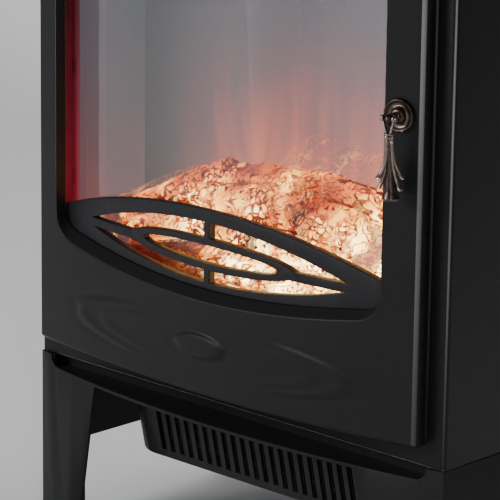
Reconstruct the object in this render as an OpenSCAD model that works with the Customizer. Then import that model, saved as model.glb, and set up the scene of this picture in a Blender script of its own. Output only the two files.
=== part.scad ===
// Electric fireplace in the shape of a small stove: a sheet-metal casing on a
// bow-fronted base with four legs, a bowed door with a window and a cast grille,
// a lit log set behind it, and a fan heater in the base.
// X runs to the right, Y to the back and Z up. The origin is on the floor, in the
// middle of the overall width and depth.

/* [Casing] */
// Width of the casing and the base
body_w = 400; // [360:1:520]
// Depth of the casing
body_d = 235; // [210:1:320]
// Height of the casing, seam to top plate
body_h = 408; // [400:1:500]
// Sheet thickness of the casing
sheet_t = 1.2; // [0.8:0.1:2]
// Radius of the casing's upright edges
corner_r = 4; // [3:0.5:10]
// Height of the shadow gap between casing and base
seam_gap = 0.8; // [0.4:0.1:2]
// Width of the flanges turned in at the casing's back
back_flange = 14; // [10:1:20]
// Thickness of the back panel
back_t = 1; // [0.8:0.1:2]
// Height of the rubber wall spacers
spacer_h = 5; // [3:0.5:12]
// Radius of the cable gland's bore
gland_bore_r = 3.8; // [3:0.1:5]

/* [Top plate] */
// Height of the top plate
top_t = 19; // [14:1:30]
// Side overhang of the top plate
top_side = 7.5; // [4:0.5:15]
// Reach of the top plate in front of the casing, at the middle
top_front = 44; // [42:1:60]
// Wall of the top plate
top_wall = 3; // [2:0.5:4]

/* [Base] */
// Height of the base, floor to seam
base_h = 140; // [135:1:180]
// Rise of the bowed front, in plan
base_bow = 21; // [14:1:24]
// Wall of the moulded base
base_wall = 2.5; // [2:0.1:4]
// Drop from the seam to the rim in front of the casing
rim_drop = 8.8; // [6:0.2:12]
// Height of the thin lip between the front legs
lip_h = 2.4; // [2:0.2:5]
// Width of a front leg under the lip
leg_top_w = 70; // [60:1:80]
// Width of a front leg at the floor
leg_foot_w = 46.5; // [38:0.5:56]
// Width of the legs seen from the side
leg_side_w = 42; // [30:1:60]
// Height of the gaps at the sides and the back
leg_gap_h = 62; // [40:1:70]
// Radius of a foot pad
pad_r = 9; // [7:0.5:12]
// Height of a foot pad
pad_h = 3; // [2:0.5:6]

/* [Hot-air outlet] */
// Half width of the outlet's flat part
outlet_half = 108; // [90:1:112]
// Radius of the outlet panel's ends
outlet_end_r = 26; // [16:1:30]
// Lean of the outlet panel, in degrees
outlet_tilt = 12.7; // [5:0.1:20]
// Length of the outlet panel down its slope
outlet_len = 56; // [44:1:58]
// Distance from slot to slot
slot_pitch = 9.6; // [8:0.2:14]
// Width of a slot
slot_w = 4.8; // [3:0.2:6]
// Thickness of the outlet panel
outlet_t = 2; // [1.5:0.1:3]

/* [Blower and heater] */
// Radius of the blower wheel
wheel_r = 21; // [14:1:22]
// Number of blades on the blower wheel
blades = 24; // [12:1:30]
// Radius of the blower's shaft
blower_shaft_r = 2.5; // [2:0.1:3.5]
// Radius of the heating coils
coil_r = 3; // [2:0.2:4]

/* [Door] */
// Distance from the casing's side to the door's edge
door_inset = 13.8; // [12:0.2:20]
// Distance of the door's edge in front of the casing
door_stand = 15; // [13:0.5:18]
// Rise of the bowed door, in plan
door_bow = 18.7; // [14:0.1:22]
// Thickness of the door's sheet
door_skin = 1.8; // [1.2:0.1:2.4]
// Gap between the door's turned edge and the casing
door_gap = 4.5; // [4.2:0.1:6]
// Height of the door's lower edge over the seam
door_low = 16.5; // [8:0.5:24]
// Gap between the door and the top plate
door_top_gap = 8; // [3:0.5:15]
// Half length of the oval boss
boss_a = 23.5; // [15:0.5:30]
// Half height of the oval boss
boss_b = 9.2; // [6:0.2:12]
// Height of the oval boss over the seam
boss_z = 52.7; // [45:0.1:60]
// Relief of the oval boss
boss_h = 1.6; // [0.8:0.1:3]

/* [Window] */
// Width of the window
window_w = 320; // [280:1:320]
// Shift of the window from the middle of the door
window_shift = -3; // [-3:0.5:3]
// Height of the window's lowest point over the seam
window_low = 86; // [80:1:95]
// Height of the window's highest point over the seam
window_high = 362; // [330:1:365]
// Rise of the window's bowed lower and upper edges
window_bow = 14; // [8:0.5:20]
// Corner radius of the window
window_corner = 22; // [15:1:30]
// Depth of the window's reveal
reveal_d = 10; // [8:0.5:11]
// Width of the ring that carries the glass
ring_w = 8; // [6:0.5:8]
// Depth of the ring that carries the glass
ring_d = 7; // [6:0.5:8]
// Thickness of the glass
glass_t = 3; // [2:0.5:4]

/* [Window grille] */
// Height of the grille's top over the seam, at the middle
grille_top = 149; // [145:0.5:155]
// Rise of the grille's top edge
grille_bow = 26; // [20:0.5:30]
// Thickness of the grille
grille_t = 6.6; // [4:0.2:7]
// Height over the seam of the grille's cross arms
arm_z = 116; // [112:0.5:118]
// Height of the cross arms
arm_h = 6.4; // [4:0.2:8]
// Highest point of the grille's openings over the seam
lens_top = 140.2; // [137:0.2:141]
// Lowest point of the grille's openings over the seam
lens_low = 96.3; // [94:0.1:98]
// Distance from the lens's tip to the window's side
lens_margin = 25; // [22:0.5:40]
// Half length of the oval ring
oval_a = 82; // [60:1:90]
// Half height of the oval ring
oval_b = 11.4; // [10:0.2:13]
// Band of the oval ring above and below
oval_band = 4.8; // [3:0.2:6]
// Band of the oval ring at its ends
oval_end = 16; // [6:0.5:20]
// Width of the upright bars
bar_w = 5; // [4:0.2:7]

/* [Hinges and catch] */
// Height of a hinge
hinge_h = 36; // [28:1:50]
// Distance from the door's ends to the hinges
hinge_inset = 40; // [30:1:60]
// Radius of a hinge knuckle
knuckle_r = 3.4; // [3:0.1:3.6]
// Radius of a hinge pin
pin_r = 1.5; // [1.2:0.1:1.8]
// Thickness of a hinge leaf
leaf_t = 1.2; // [1:0.1:1.3]
// Distance from the door's edge to the hinge's axis
hinge_out = 4.1; // [4:0.1:5]

/* [Door pull] */
// Distance from the window's side to the pull's centre
pull_from_window = 12.3; // [8:0.1:14]
// Height of the pull over the seam
pull_z = 244.4; // [200:0.1:280]
// Radius of the pull's rose
rose_r = 11.5; // [9:0.5:14]
// Distance from the door's face to the drop's pivot
pull_reach = 14; // [13:0.2:18]
// Length of the drop
drop_len = 54; // [40:1:70]
// Radius of the drop's flared end
drop_r = 9; // [6:0.2:9.5]
// Radius of the drop's pivot pin
drop_pin_r = 1.1; // [0.8:0.1:1.5]

/* [Firebox] */
// Half width of the firebox
fire_half = 158; // [120:1:160]
// Depth of the flame screen behind the casing's front
screen_y = 66; // [58:1:70]
// Thickness of the flame screen
screen_t = 3; // [2:0.5:4]
// Depth of the firebox behind the casing's front
fire_d = 130; // [125:1:150]
// Height of the firebox floor over the seam
fire_low = 74; // [70:1:76]
// Height of the firebox ceiling over the seam
fire_high = 374; // [372:1:380]
// Wall of the firebox liner
liner_t = 0.8; // [0.6:0.1:1.5]
// Height of the logs' highest point over the seam
log_top = 174; // [165:1:180]
// Radius of the flame spindle
rod_r = 2; // [1.5:0.1:3]
// Radius swept by the flame spindle's reflectors
rod_swing = 15; // [10:1:18]

/* [Controls] */
// Width of the control panel
panel_w = 190; // [170:1:220]
// Height of the control panel
panel_h = 42; // [38:1:46]
// Height of the control panel's middle over the seam
panel_z = 43; // [38:1:46]
// Thickness of the control panel
panel_t = 3; // [2:0.5:4]
// Width of a rocker
rocker_w = 14; // [10:0.5:18]
// Height of a rocker
rocker_h = 20; // [16:0.5:24]
// Tilt of a rocker from its middle, in degrees
rocker_tilt = 8; // [5:1:10]
// Radius of the thermostat knob
knob_r = 13; // [10:0.5:15]
// Height of the thermostat knob
knob_h = 14; // [10:0.5:15]
// Radius of the thermostat's spindle
spindle_r = 3; // [2.5:0.1:3.5]

/* [Fits] */
// Radial clearance of shafts, pins and pivots in their bores
running = 0.05; // [0.02:0.01:0.1]
// Clearance round pieces set into openings
slip = 0.4; // [0.2:0.1:0.8]

/* [Hidden] */
$fn = 180;
small_fn = 48;   // facets drawn on pins, screws and pads
over = 1;        // how far a cut runs past the face that it opens

// Places that everything else is measured from
front_y = -(body_d + spacer_h - top_front) / 2;
back_y = front_y + body_d;
half_w = body_w / 2;
seam_z = base_h;
casing_top = base_h + body_h;

// Radius of a circle from half its chord and its rise
function bow_radius(half, rise) = (half * half + rise * rise) / (2 * rise);
// Points of an arc round c
function arc(c, r, a0, a1, n) =
    [for (i = [0:n]) let (a = a0 + (a1 - a0) * i / n) c + r * [cos(a), sin(a)]];
// Points of an ellipse round the origin
function oval(a, b, n = 72) = [for (i = [0:n - 1]) [a * cos(360 * i / n), b * sin(360 * i / n)]];

// Door: an arc in plan, whose centre is far behind the casing
door_half = half_w - door_inset;
door_r = bow_radius(door_half, door_bow);
door_cy = front_y - door_stand - door_bow + door_r;
door_z0 = seam_z + door_low;
door_z1 = casing_top - door_top_gap;
door_back = front_y - door_gap;
function face_y(x) = door_cy - sqrt(door_r * door_r - x * x);
function face_angle(x) = asin(x / door_r);

// Window outline, grown by g all round
window_half = window_w / 2;
window_r = bow_radius(window_half - window_corner / 2, window_bow);
window_z0 = seam_z + window_low;
window_z1 = seam_z + window_high;
function window_points(g) = let (
        r = window_r + g, rc = window_corner + g, x = window_half + g - rc,
        swing = asin(x / (r - rc)), rise = (r - rc) * cos(swing),
        low = [0, window_z0 + window_r], high = [0, window_z1 - window_r],
        zl = low.y - rise, zh = high.y + rise)
    concat(arc(low, r, 270 - swing, 270 + swing, 40), arc([x, zl], rc, 270 + swing, 360, 8),
           arc([x, zh], rc, 0, 90 - swing, 8), arc(high, r, 90 - swing, 90 + swing, 40),
           arc([-x, zh], rc, 90 + swing, 180, 8), arc([-x, zl], rc, 180, 270 - swing, 8));

// Base: its front is an arc in plan too
base_r = bow_radius(half_w, base_bow);
base_cy = front_y - base_bow + base_r;
foot_z = pad_h;
step_t = 5;         // height of the corner steps over the pads
flange_w = 13;      // width of the side flanges with the wall they grow from
foot_x = half_w - base_wall - pad_r;
foot_y = [front_y + base_wall + pad_r, back_y - base_wall - pad_r];

// Hinge axis
hinge_x = -door_half - hinge_out;
hinge_y = front_y - knuckle_r - 0.6;
hinge_z = [door_z0 + hinge_inset, door_z1 - hinge_inset - hinge_h];
knuckle_gap = 0.4;

// Pull
pull_x = window_half + window_shift + pull_from_window;
pull_at = [pull_x, face_y(pull_x), seam_z + pull_z];
ear_gap = 3.2;      // half the space between the drop's ears
ear_t = 1.6;

// Firebox
fire_front = front_y + 6;
fire_back = front_y + fire_d;
fire_z0 = seam_z + fire_low;
fire_z1 = seam_z + fire_high;
rod_y = front_y + screen_y + screen_t + rod_swing + 6;
rod_z = fire_z0 + rod_swing + 12;
log_y0 = front_y + 12;
log_y1 = front_y + screen_y - 6;

// Blower
duct_z0 = seam_z - 64;
duct_z1 = seam_z - 5;
duct_y0 = front_y + 42;
duct_y1 = duct_y0 + 2 * wheel_r + 46;
duct_half = outlet_half + 4;
wheel_y = duct_y1 - wheel_r - 5;
wheel_z = (duct_z0 + duct_z1) / 2;

// Controls
knob_x = panel_w / 2 - knob_r - 14;
rocker_x = [-panel_w / 2 + 26, -panel_w / 2 + 62];
panel_front = front_y - panel_t;
pivot_y = panel_front + 1;

// A shape drawn in X and Z, carried from y0 back to y1
module through(y0, y1) {
    translate([0, y1, 0]) rotate([90, 0, 0]) linear_extrude(y1 - y0) children();
}
// A layer of the bowed door between two depths behind its face
module door_layer(d0, d1, half = door_half) {
    translate([0, 0, door_z0]) linear_extrude(door_z1 - door_z0) intersection() {
        difference() {
            translate([0, door_cy]) circle(door_r - d0);
            translate([0, door_cy]) circle(door_r - d1);
        }
        translate([-half, front_y - 60]) square([2 * half, 80]);
    }
}
// Places children on the door's face, with -Y pointing straight out of it
module on_door(x, z) {
    translate([x, face_y(x), z]) rotate([0, 0, face_angle(x)]) children();
}
// The window outline, grown by g
module window(g) { translate([window_shift, 0]) polygon(window_points(g)); }
module box(low, high) { translate(low) cube(high - low); }
// A pan-head screw whose head faces -Y
module screw(head_r, head_h, shank_r, shank_l) {
    rotate([90, 0, 0]) {
        difference() {
            cylinder(r = head_r, h = head_h, $fn = small_fn);
            translate([0, 0, head_h - 0.8]) cube([head_r, 0.7, 2], center = true);
            translate([0, 0, head_h - 0.8]) cube([0.7, head_r, 2], center = true);
        }
        translate([0, 0, -shank_l]) cylinder(r = shank_r, h = shank_l, $fn = small_fn);
    }
}

// ---- Base ----
// Outline of the base in plan: straight sides and back, bowed front
module base_plan(inset) {
    intersection() {
        translate([-half_w + inset, front_y - base_bow - over])
            square([body_w - 2 * inset, body_d + base_bow + over - inset]);
        translate([0, base_cy]) circle(base_r - inset);
    }
}
module base_shell() color("#2b2c2e") {
    difference() {
        union() {
            translate([0, 0, foot_z]) linear_extrude(base_h - foot_z) difference() {
                base_plan(0);
                base_plan(base_wall);
            }
            // corner steps that the foot pads are pushed into
            translate([0, 0, foot_z]) linear_extrude(step_t) intersection() {
                base_plan(base_wall / 2);
                for (x = [-1, 1], y = foot_y) translate([x * foot_x, y])
                    square(2 * pad_r + 8, center = true);
            }
            // flanges at the top of the sides, for the casing's floor
            for (x = [-1, 1]) translate([x * (half_w - base_wall / 2 - flange_w / 2), 0, 0])
                box([-flange_w / 2, front_y + 14, seam_z - 3], [flange_w / 2, back_y - base_wall / 2, seam_z]);
        }
        // the scoop in front of the casing
        through(front_y - base_bow - over, front_y - 0.5) hull() {
            for (x = [-1, 1]) translate([x * (half_w - 13 - 9), seam_z - rim_drop + 9])
                circle(9, $fn = 32);
            translate([-half_w + 13, seam_z + 4]) square([body_w - 26, 1]);
        }
        // between the front legs
        through(front_y - base_bow - over, front_y + 16) polygon([
            [-half_w + leg_foot_w, 0], [half_w - leg_foot_w, 0],
            [half_w - leg_top_w, seam_z - rim_drop - lip_h],
            [-half_w + leg_top_w, seam_z - rim_drop - lip_h]]);
        // between the legs at the back and at the sides
        box([-half_w + leg_foot_w, back_y - 12, 0], [half_w - leg_foot_w, back_y + over, leg_gap_h]);
        box([-half_w - over, front_y + leg_side_w, 0], [half_w + over, back_y - leg_side_w, leg_gap_h]);
        for (x = [-1, 1], y = foot_y) translate([x * foot_x, y, 0])
            cylinder(r = pad_r / 3, h = foot_z + step_t + over, $fn = small_fn);
    }
}

// Ledge under the casing's front, closed against the bowed lip
module base_scoop() color("#202123") {
    translate([0, 0, seam_z - rim_drop - lip_h]) linear_extrude(1.6) intersection() {
        base_plan(base_wall);
        translate([-half_w, front_y - base_bow - over]) square([body_w, base_bow + over + 12]);
    }
    // riser that closes the ledge under the casing
    box([-half_w + base_wall, front_y + 10.4, seam_z - rim_drop - lip_h],
        [half_w - base_wall, front_y + 12, seam_z]);
}
module foot_pads() color("#141414") {
    for (x = [-1, 1], y = foot_y) translate([x * foot_x, y, 0]) {
        cylinder(r = pad_r, h = pad_h, $fn = small_fn);
        cylinder(r = pad_r / 3 - running, h = pad_h + 5, $fn = small_fn);
    }
}

// ---- Hot-air outlet, fan and heater ----
// Frame of the leaning outlet: its front face is y = 0 and its lower edge z = 0
module on_outlet() {
    lean = outlet_len * sin(outlet_tilt);
    translate([0, front_y + 17 + lean, seam_z - rim_drop - lip_h - outlet_len * cos(outlet_tilt) - 1])
        rotate([outlet_tilt, 0, 0]) children();
}
module outlet_plan(r) {
    translate([-outlet_half, outlet_end_r - r]) square([2 * outlet_half, r]);
    for (x = [-1, 1]) translate([x * outlet_half, outlet_end_r]) circle(r);
}
module outlet_grille() color("#1d1e20") {
    slots = floor((outlet_half - slot_w) / slot_pitch);
    on_outlet() difference() {
        linear_extrude(outlet_len) intersection() {
            difference() {
                outlet_plan(outlet_end_r);
                outlet_plan(outlet_end_r - outlet_t);
            }
            translate([-half_w, 0]) square([body_w, outlet_end_r]);
        }
        for (i = [-slots:slots]) translate([i * slot_pitch - slot_w / 2, -over, 6])
            cube([slot_w, outlet_t + 2 * over, outlet_len - 9]);
    }
}
module outlet_grid() color("#232326") {
    half = outlet_half - 1;
    pitch = slot_pitch / 2;
    fins = floor((half - 3) / pitch);
    on_outlet() translate([0, outlet_t + 3, 0]) {
        for (z = [3, 14, outlet_len - 8]) translate([-half, 0, z]) cube([2 * half, 2, 2.4]);
        for (i = [-fins:fins]) translate([i * pitch - 0.5, 0.4, 4]) cube([1, 5, outlet_len - 11]);
        for (x = [-half, half - 2]) translate([x, 0, 3]) cube([2, 8, outlet_len - 8.6]);
    }
}
module blower_housing() color("#9a9ca0") {
    difference() {
        box([-duct_half, duct_y0, duct_z0], [duct_half, duct_y1, duct_z1]);
        box([-duct_half + sheet_t, duct_y0 - over, duct_z0 + sheet_t],
            [duct_half - sheet_t, duct_y1 - sheet_t, duct_z1 - sheet_t]);
        // air comes in through the back
        for (x = [-4:3]) box([x * 27 + 2, duct_y1 - 3, duct_z0 + 12], [x * 27 + 25, duct_y1 + over, duct_z1 - 12]);
        translate([0, wheel_y, wheel_z]) rotate([0, 90, 0])
            cylinder(r = blower_shaft_r + running, h = 3 * duct_half, center = true, $fn = small_fn);
    }
}
module blower_wheel() color("#3a3b3e") {
    half = duct_half - 10;
    translate([0, wheel_y, wheel_z]) rotate([0, 90, 0]) {
        for (x = [-half, -1, half - 2]) translate([0, 0, x]) cylinder(r = wheel_r, h = 2);
        for (i = [0:blades - 1]) rotate([0, 0, 360 * i / blades])
            translate([wheel_r - 6.4, 0, -half]) rotate([0, 0, 35]) cube([5.4, 0.9, 2 * half]);
        translate([0, 0, -duct_half - 6]) cylinder(r = blower_shaft_r, h = 2 * duct_half + 24, $fn = small_fn);
    }
}
module blower_motor() color("#b08a4a") {
    x0 = duct_half + 0.6;
    difference() {
        union() {
            box([x0, wheel_y - 20, wheel_z - 18], [x0 + 14, wheel_y + 20, wheel_z + 18]);
            translate([x0 + 14, wheel_y, wheel_z]) rotate([0, 90, 0]) cylinder(r = 13, h = 12);
            box([x0, wheel_y - 12, wheel_z - 26], [x0 + 13, wheel_y + 12, wheel_z - 17]);
        }
        translate([x0 - over, wheel_y, wheel_z]) rotate([0, 90, 0])
            cylinder(r = blower_shaft_r + running, h = 22, $fn = small_fn);
    }
}
heater_y = duct_y0 + 6;
module heater_frame() color("#c9b48a") {
    half = duct_half - sheet_t - slip;
    difference() {
        box([-half, heater_y, duct_z0 + sheet_t], [half, heater_y + 2, duct_z1 - sheet_t]);
        for (x = [-2:1]) box([x * 52 + 3, heater_y - over, duct_z0 + 10],
                             [x * 52 + 49, heater_y + 2 + over, duct_z1 - 10]);
    }
}
module heater_coils() color("#8c8f94") {
    for (i = [0:3]) translate([-duct_half + 9, heater_y + 2 + coil_r, duct_z0 + 13 + i * (duct_z1 - duct_z0 - 26) / 3])
        rotate([0, 90, 0]) difference() {
            cylinder(r = coil_r, h = 2 * duct_half - 18, $fn = small_fn);
            translate([0, 0, -over]) cylinder(r = coil_r - 0.9, h = 2 * duct_half, $fn = small_fn);
        }
}
module thermal_cutout() color("#d8d4c8") {
    translate([-40, duct_y0 + 26, duct_z1]) {
        cylinder(r = 8, h = 2.2, $fn = small_fn);
        for (x = [-1, 1]) translate([x * 5 - 1, -3, 2]) cube([2, 6, 1.8]);
    }
}

// ---- Casing ----
module casing_plan(inset) {
    r = max(corner_r - inset, 0.6);
    x = half_w - inset - r;
    y0 = front_y + inset;
    translate([-half_w + inset, y0 + r]) square([2 * (half_w - inset), body_d - 2 * inset - r]);
    translate([-x, y0]) square([2 * x, body_d - 2 * inset]);
    for (s = [-1, 1]) translate([s * x, y0 + r]) circle(r);
}
frame_half = window_half + ring_w + 7;
module body_shell() color("#2c2d2f") {
    difference() {
        translate([0, 0, seam_z + seam_gap]) linear_extrude(body_h - seam_gap) casing_plan(0);
        translate([0, 0, seam_z - over]) linear_extrude(body_h + over - sheet_t) casing_plan(sheet_t);
        // opening behind the door's window
        box([-frame_half, front_y - over, seam_z + fire_low - 2],
            [frame_half, front_y + 5, fire_z1 + 2]);
        // opening behind the control panel
        box([-panel_w / 2 + 8, front_y - over, seam_z + panel_z - panel_h / 2 + 4],
            [panel_w / 2 - 8, front_y + 5, seam_z + panel_z + panel_h / 2 - 4]);
        // open back, with a flange left round it
        box([-half_w + back_flange, back_y - 5, seam_z + back_flange],
            [half_w - back_flange, back_y + over, casing_top - back_flange]);
    }
}
module body_floor() color("#26272a") {
    difference() {
        translate([0, 0, seam_z]) linear_extrude(sheet_t) intersection() {
            casing_plan(sheet_t + slip / 2);
            translate([-half_w, front_y + 2]) square([body_w, body_d - 4]);
        }
        // air from the back louvres goes down to the fan
        box([-duct_half, duct_y1 + 6, seam_z - over], [duct_half, back_y - 30, seam_z + 5]);
        for (x = [-1, 1], y = screw_y) translate([x * screw_x, y, seam_z - over])
            cylinder(r = 2, h = 6, $fn = small_fn);
    }
}
screw_x = half_w - base_wall - 7;
screw_y = [front_y + 40, (front_y + back_y) / 2, back_y - 30];
module floor_screws() color("#8e9196") {
    for (x = [-1, 1], y = screw_y) translate([x * screw_x, y, seam_z + sheet_t])
        rotate([-90, 0, 0]) screw(4, 2, 1.9, sheet_t);
}
gland_at = [half_w - 62, back_y, seam_z + 34];
module back_panel() color("#303134") {
    margin = sheet_t + slip;
    difference() {
        box([-half_w + margin, back_y, seam_z + seam_gap + 0.4],
            [half_w - margin, back_y + back_t, casing_top - 0.4]);
        for (x = [-6:5], z = [0:7]) box([x * 15 + 2, back_y - over, seam_z + 60 + z * 9],
                                        [x * 15 + 13, back_y + 5, seam_z + 64 + z * 9]);
        translate(gland_at) rotate([90, 0, 0]) cylinder(r = gland_bore_r + 4, h = 10, center = true, $fn = small_fn);
        for (x = [-1, 1], z = back_screw_z) translate([x * back_screw_x, back_y, z])
            rotate([90, 0, 0]) cylinder(r = 1.6, h = 10, center = true, $fn = small_fn);
    }
}
back_screw_x = half_w - back_flange / 2 - 1;
back_screw_z = [seam_z + back_flange + 20, (seam_z + casing_top) / 2, casing_top - back_flange - 20];
module back_screws() color("#8e9196") {
    for (x = [-1, 1], z = back_screw_z) translate([x * back_screw_x, back_y + back_t, z])
        rotate([0, 0, 180]) screw(3.6, 2, 1.6, 0.8);
}
module wall_spacers() color("#161616") {
    for (x = [-1, 1]) translate([x * (half_w - 60), back_y + back_t, casing_top - 50]) rotate([-90, 0, 0]) {
        cylinder(r = 9, h = spacer_h - back_t - 1, $fn = small_fn);
        cylinder(r = 7, h = spacer_h - back_t, $fn = small_fn);
    }
}
module cable_gland() color("#18181a") {
    translate(gland_at) rotate([-90, 0, 0]) difference() {
        union() {
            translate([0, 0, -10]) cylinder(r = gland_bore_r + 3.8, h = 10 + back_t, $fn = small_fn);
            translate([0, 0, back_t]) cylinder(r = gland_bore_r + 6, h = 2, $fn = small_fn);
            translate([0, 0, -14]) cylinder(r = gland_bore_r + 6, h = 4, $fn = small_fn);
        }
        translate([0, 0, -20]) cylinder(r = gland_bore_r, h = 30, $fn = small_fn);
    }
}
module terminal_block() color("#e8e6dc") {
    at = [half_w - 80, back_y - 60, seam_z + sheet_t];
    for (i = [0:3]) translate(at + [i * 10, 0, 0]) difference() {
        cube([9.6, 18, 14]);
        translate([4.8, 9, 8]) cylinder(r = 2, h = 10, $fn = small_fn);
    }
    translate(at + [-1, 6, 0]) cube([41.6, 6, 3]);
}
// Bow-fronted outline of the top plate, stepped in at the front and the sides
module top_plan(inset) {
    half = half_w + top_side - inset;
    r = bow_radius(half_w + top_side, base_bow);
    intersection() {
        translate([-half, front_y - top_front - over]) square([2 * half, body_d + top_front + over]);
        translate([0, front_y - top_front + r]) circle(r - inset);
    }
}
module top_plate() color("#2b2c2e") {
    step = 4;
    difference() {
        union() {
            translate([0, 0, casing_top]) linear_extrude(step) top_plan(step);
            translate([0, 0, casing_top + step]) linear_extrude(top_t - 2 * step) top_plan(0);
            translate([0, 0, casing_top + top_t - step]) linear_extrude(step / 2) top_plan(1);
            translate([0, 0, casing_top + top_t - step / 2]) linear_extrude(step / 2) top_plan(2.6);
        }
        // hollow above the casing, closed under the overhang
        translate([0, 0, casing_top + top_wall]) linear_extrude(top_t - 2 * top_wall) intersection() {
            top_plan(step + top_wall);
            translate([-body_w, front_y - top_front]) square([2 * body_w, body_d + top_front - top_wall]);
        }
        translate([0, 0, casing_top - over]) linear_extrude(top_wall + 2 * over) casing_plan(12);
    }
}

// ---- Firebox ----
module firebox_liner() color("#3a3a3c") {
    difference() {
        union() {
            box([-fire_half - liner_t, fire_front, fire_z0 - liner_t],
                [fire_half + liner_t, fire_back, fire_z1 + liner_t]);
            // flange behind the casing's front
            box([-frame_half - 4, fire_front, fire_z0 - 6], [frame_half + 4, fire_front + liner_t, fire_z1 + 6]);
        }
        box([-fire_half, fire_front - over, fire_z0], [fire_half, fire_back - liner_t, fire_z1]);
        translate([0, rod_y, rod_z]) rotate([0, 90, 0]) cylinder(r = 6, h = 3 * fire_half, center = true, $fn = small_fn);
    }
}
module flame_screen() color("#9aa0a6", 0.6) {
    box([-fire_half + slip, front_y + screen_y, fire_z0],
        [fire_half - slip, front_y + screen_y + screen_t, fire_z1 - slip]);
}
bed_top = fire_z0 + 34;
module ember_bed() color("#d9722e") {
    y0 = log_y0 - 4;
    y1 = log_y1 + 3;
    difference() {
        translate([-fire_half + 6, 0, 0]) rotate([90, 0, 90]) linear_extrude(2 * fire_half - 12)
            polygon([[y0, fire_z0], [y0, fire_z0 + 12], [y0 + 10, fire_z0 + 22],
                     [y1 - 6, bed_top], [y1, bed_top], [y1, fire_z0]]);
        box([-fire_half + 14, y0 + 8, fire_z0 - over], [fire_half - 14, y1 - 6, fire_z0 + 9]);
    }
}
// One log: a blunt round billet from a to b
module log(a, b, r) {
    d = b - a;
    translate(a) rotate([0, acos(d.z / norm(d)), atan2(d.y, d.x)]) {
        cylinder(r = r, h = norm(d), $fn = 24);
        translate([0, 0, -2]) cylinder(r = r - 3, h = norm(d) + 4, $fn = 24);
    }
}
module log_set() color("#e8c08a") {
    ym = (log_y0 + log_y1) / 2;
    difference() {
        union() {
            log([-fire_half + 22, ym + 10, seam_z + 108], [-20, ym + 8, seam_z + log_top - 16], 13);
            log([-38, ym + 12, seam_z + log_top - 17], [fire_half - 18, ym + 8, seam_z + log_top - 26], 15);
            log([-fire_half + 40, ym - 8, seam_z + 104], [-34, ym - 8, seam_z + 122], 11);
            log([-62, ym - 12, seam_z + 112], [10, ym + 6, seam_z + log_top - 20], 12);
            log([-4, ym - 9, seam_z + 118], [fire_half - 26, ym - 8, seam_z + 120], 15);
        }
        // flat underside that lies on the ember bed
        translate([-fire_half + 6, 0, 0]) rotate([90, 0, 90]) linear_extrude(2 * fire_half - 12)
            polygon([[log_y0 - 20, fire_z0 - 40], [log_y0 - 20, fire_z0 + 22], [log_y0 + 6, fire_z0 + 22],
                     [log_y1 - 3, bed_top], [log_y1 + 12, bed_top], [log_y1 + 12, fire_z0 - 40]]);
    }
}
module led_board() color("#1f6b3a") {
    y0 = log_y0 + 12;
    box([-fire_half + 20, y0, fire_z0], [fire_half - 20, y0 + 22, fire_z0 + 1.6]);
    for (i = [-5:5]) translate([i * (fire_half - 30) / 5 - 2.5, y0 + 8, fire_z0 + 1.6]) cube([5, 5, 2]);
}
module flame_spindle() color("#c8ccd0") {
    half = fire_half - 8;
    translate([0, rod_y, rod_z]) rotate([0, 90, 0]) {
        translate([0, 0, -fire_half - 10]) cylinder(r = rod_r, h = 2 * fire_half + 22, $fn = small_fn);
        for (i = [0:13]) translate([0, 0, -half + (i + 0.5) * 2 * half / 14]) rotate([0, 0, i * 53])
            translate([-rod_swing, -0.3, -4]) cube([2 * rod_swing, 0.6, 8]);
    }
}
module spindle_bush() color("#e4e4de") {
    translate([-fire_half - liner_t - 5, rod_y, rod_z]) rotate([0, 90, 0]) difference() {
        union() {
            cylinder(r = 9, h = 5, $fn = small_fn);
            translate([0, 0, 4]) cylinder(r = 5.9, h = 3, $fn = small_fn);
        }
        translate([0, 0, -over]) cylinder(r = rod_r + running, h = 12, $fn = small_fn);
    }
}
module flame_motor() color("#b9bcc0") {
    translate([fire_half + liner_t, rod_y, rod_z]) rotate([0, 90, 0]) difference() {
        union() {
            cylinder(r = 17, h = 16);
            translate([-4, -24, 0]) cube([8, 48, 1.5]);
        }
        translate([0, 0, -over]) cylinder(r = rod_r + running, h = 14, $fn = small_fn);
    }
}

// ---- Controls ----
module control_panel() color("#1a1a1c") {
    difference() {
        box([-panel_w / 2, panel_front, seam_z + panel_z - panel_h / 2],
            [panel_w / 2, front_y, seam_z + panel_z + panel_h / 2]);
        for (x = rocker_x) translate([x, 0, seam_z + panel_z]) through(panel_front - over, front_y + over)
            square([rocker_w + 5, rocker_h + 5], center = true);
        translate([knob_x, 0, seam_z + panel_z]) through(panel_front - over, front_y + over)
            circle(spindle_r + 2, $fn = small_fn);
    }
}
module switch_housings() color("#101012") {
    for (x = rocker_x) translate([x, 0, seam_z + panel_z]) difference() {
        union() {
            box([-rocker_w / 2 - 2.2, panel_front, -rocker_h / 2 - 2.2], [rocker_w / 2 + 2.2, front_y + 18, rocker_h / 2 + 2.2]);
            for (z = [-3, 3]) box([-2, front_y + 18, z - 0.4], [2, front_y + 25, z + 0.4]);
        }
        box([-rocker_w / 2 - slip, panel_front - over, -rocker_h / 2 - slip],
            [rocker_w / 2 + slip, panel_front + 12, rocker_h / 2 + slip]);
        translate([0, pivot_y, 0]) rotate([0, 90, 0])
            cylinder(r = 1.5 + running, h = rocker_w + 3.2, center = true, $fn = small_fn);
    }
}
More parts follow.
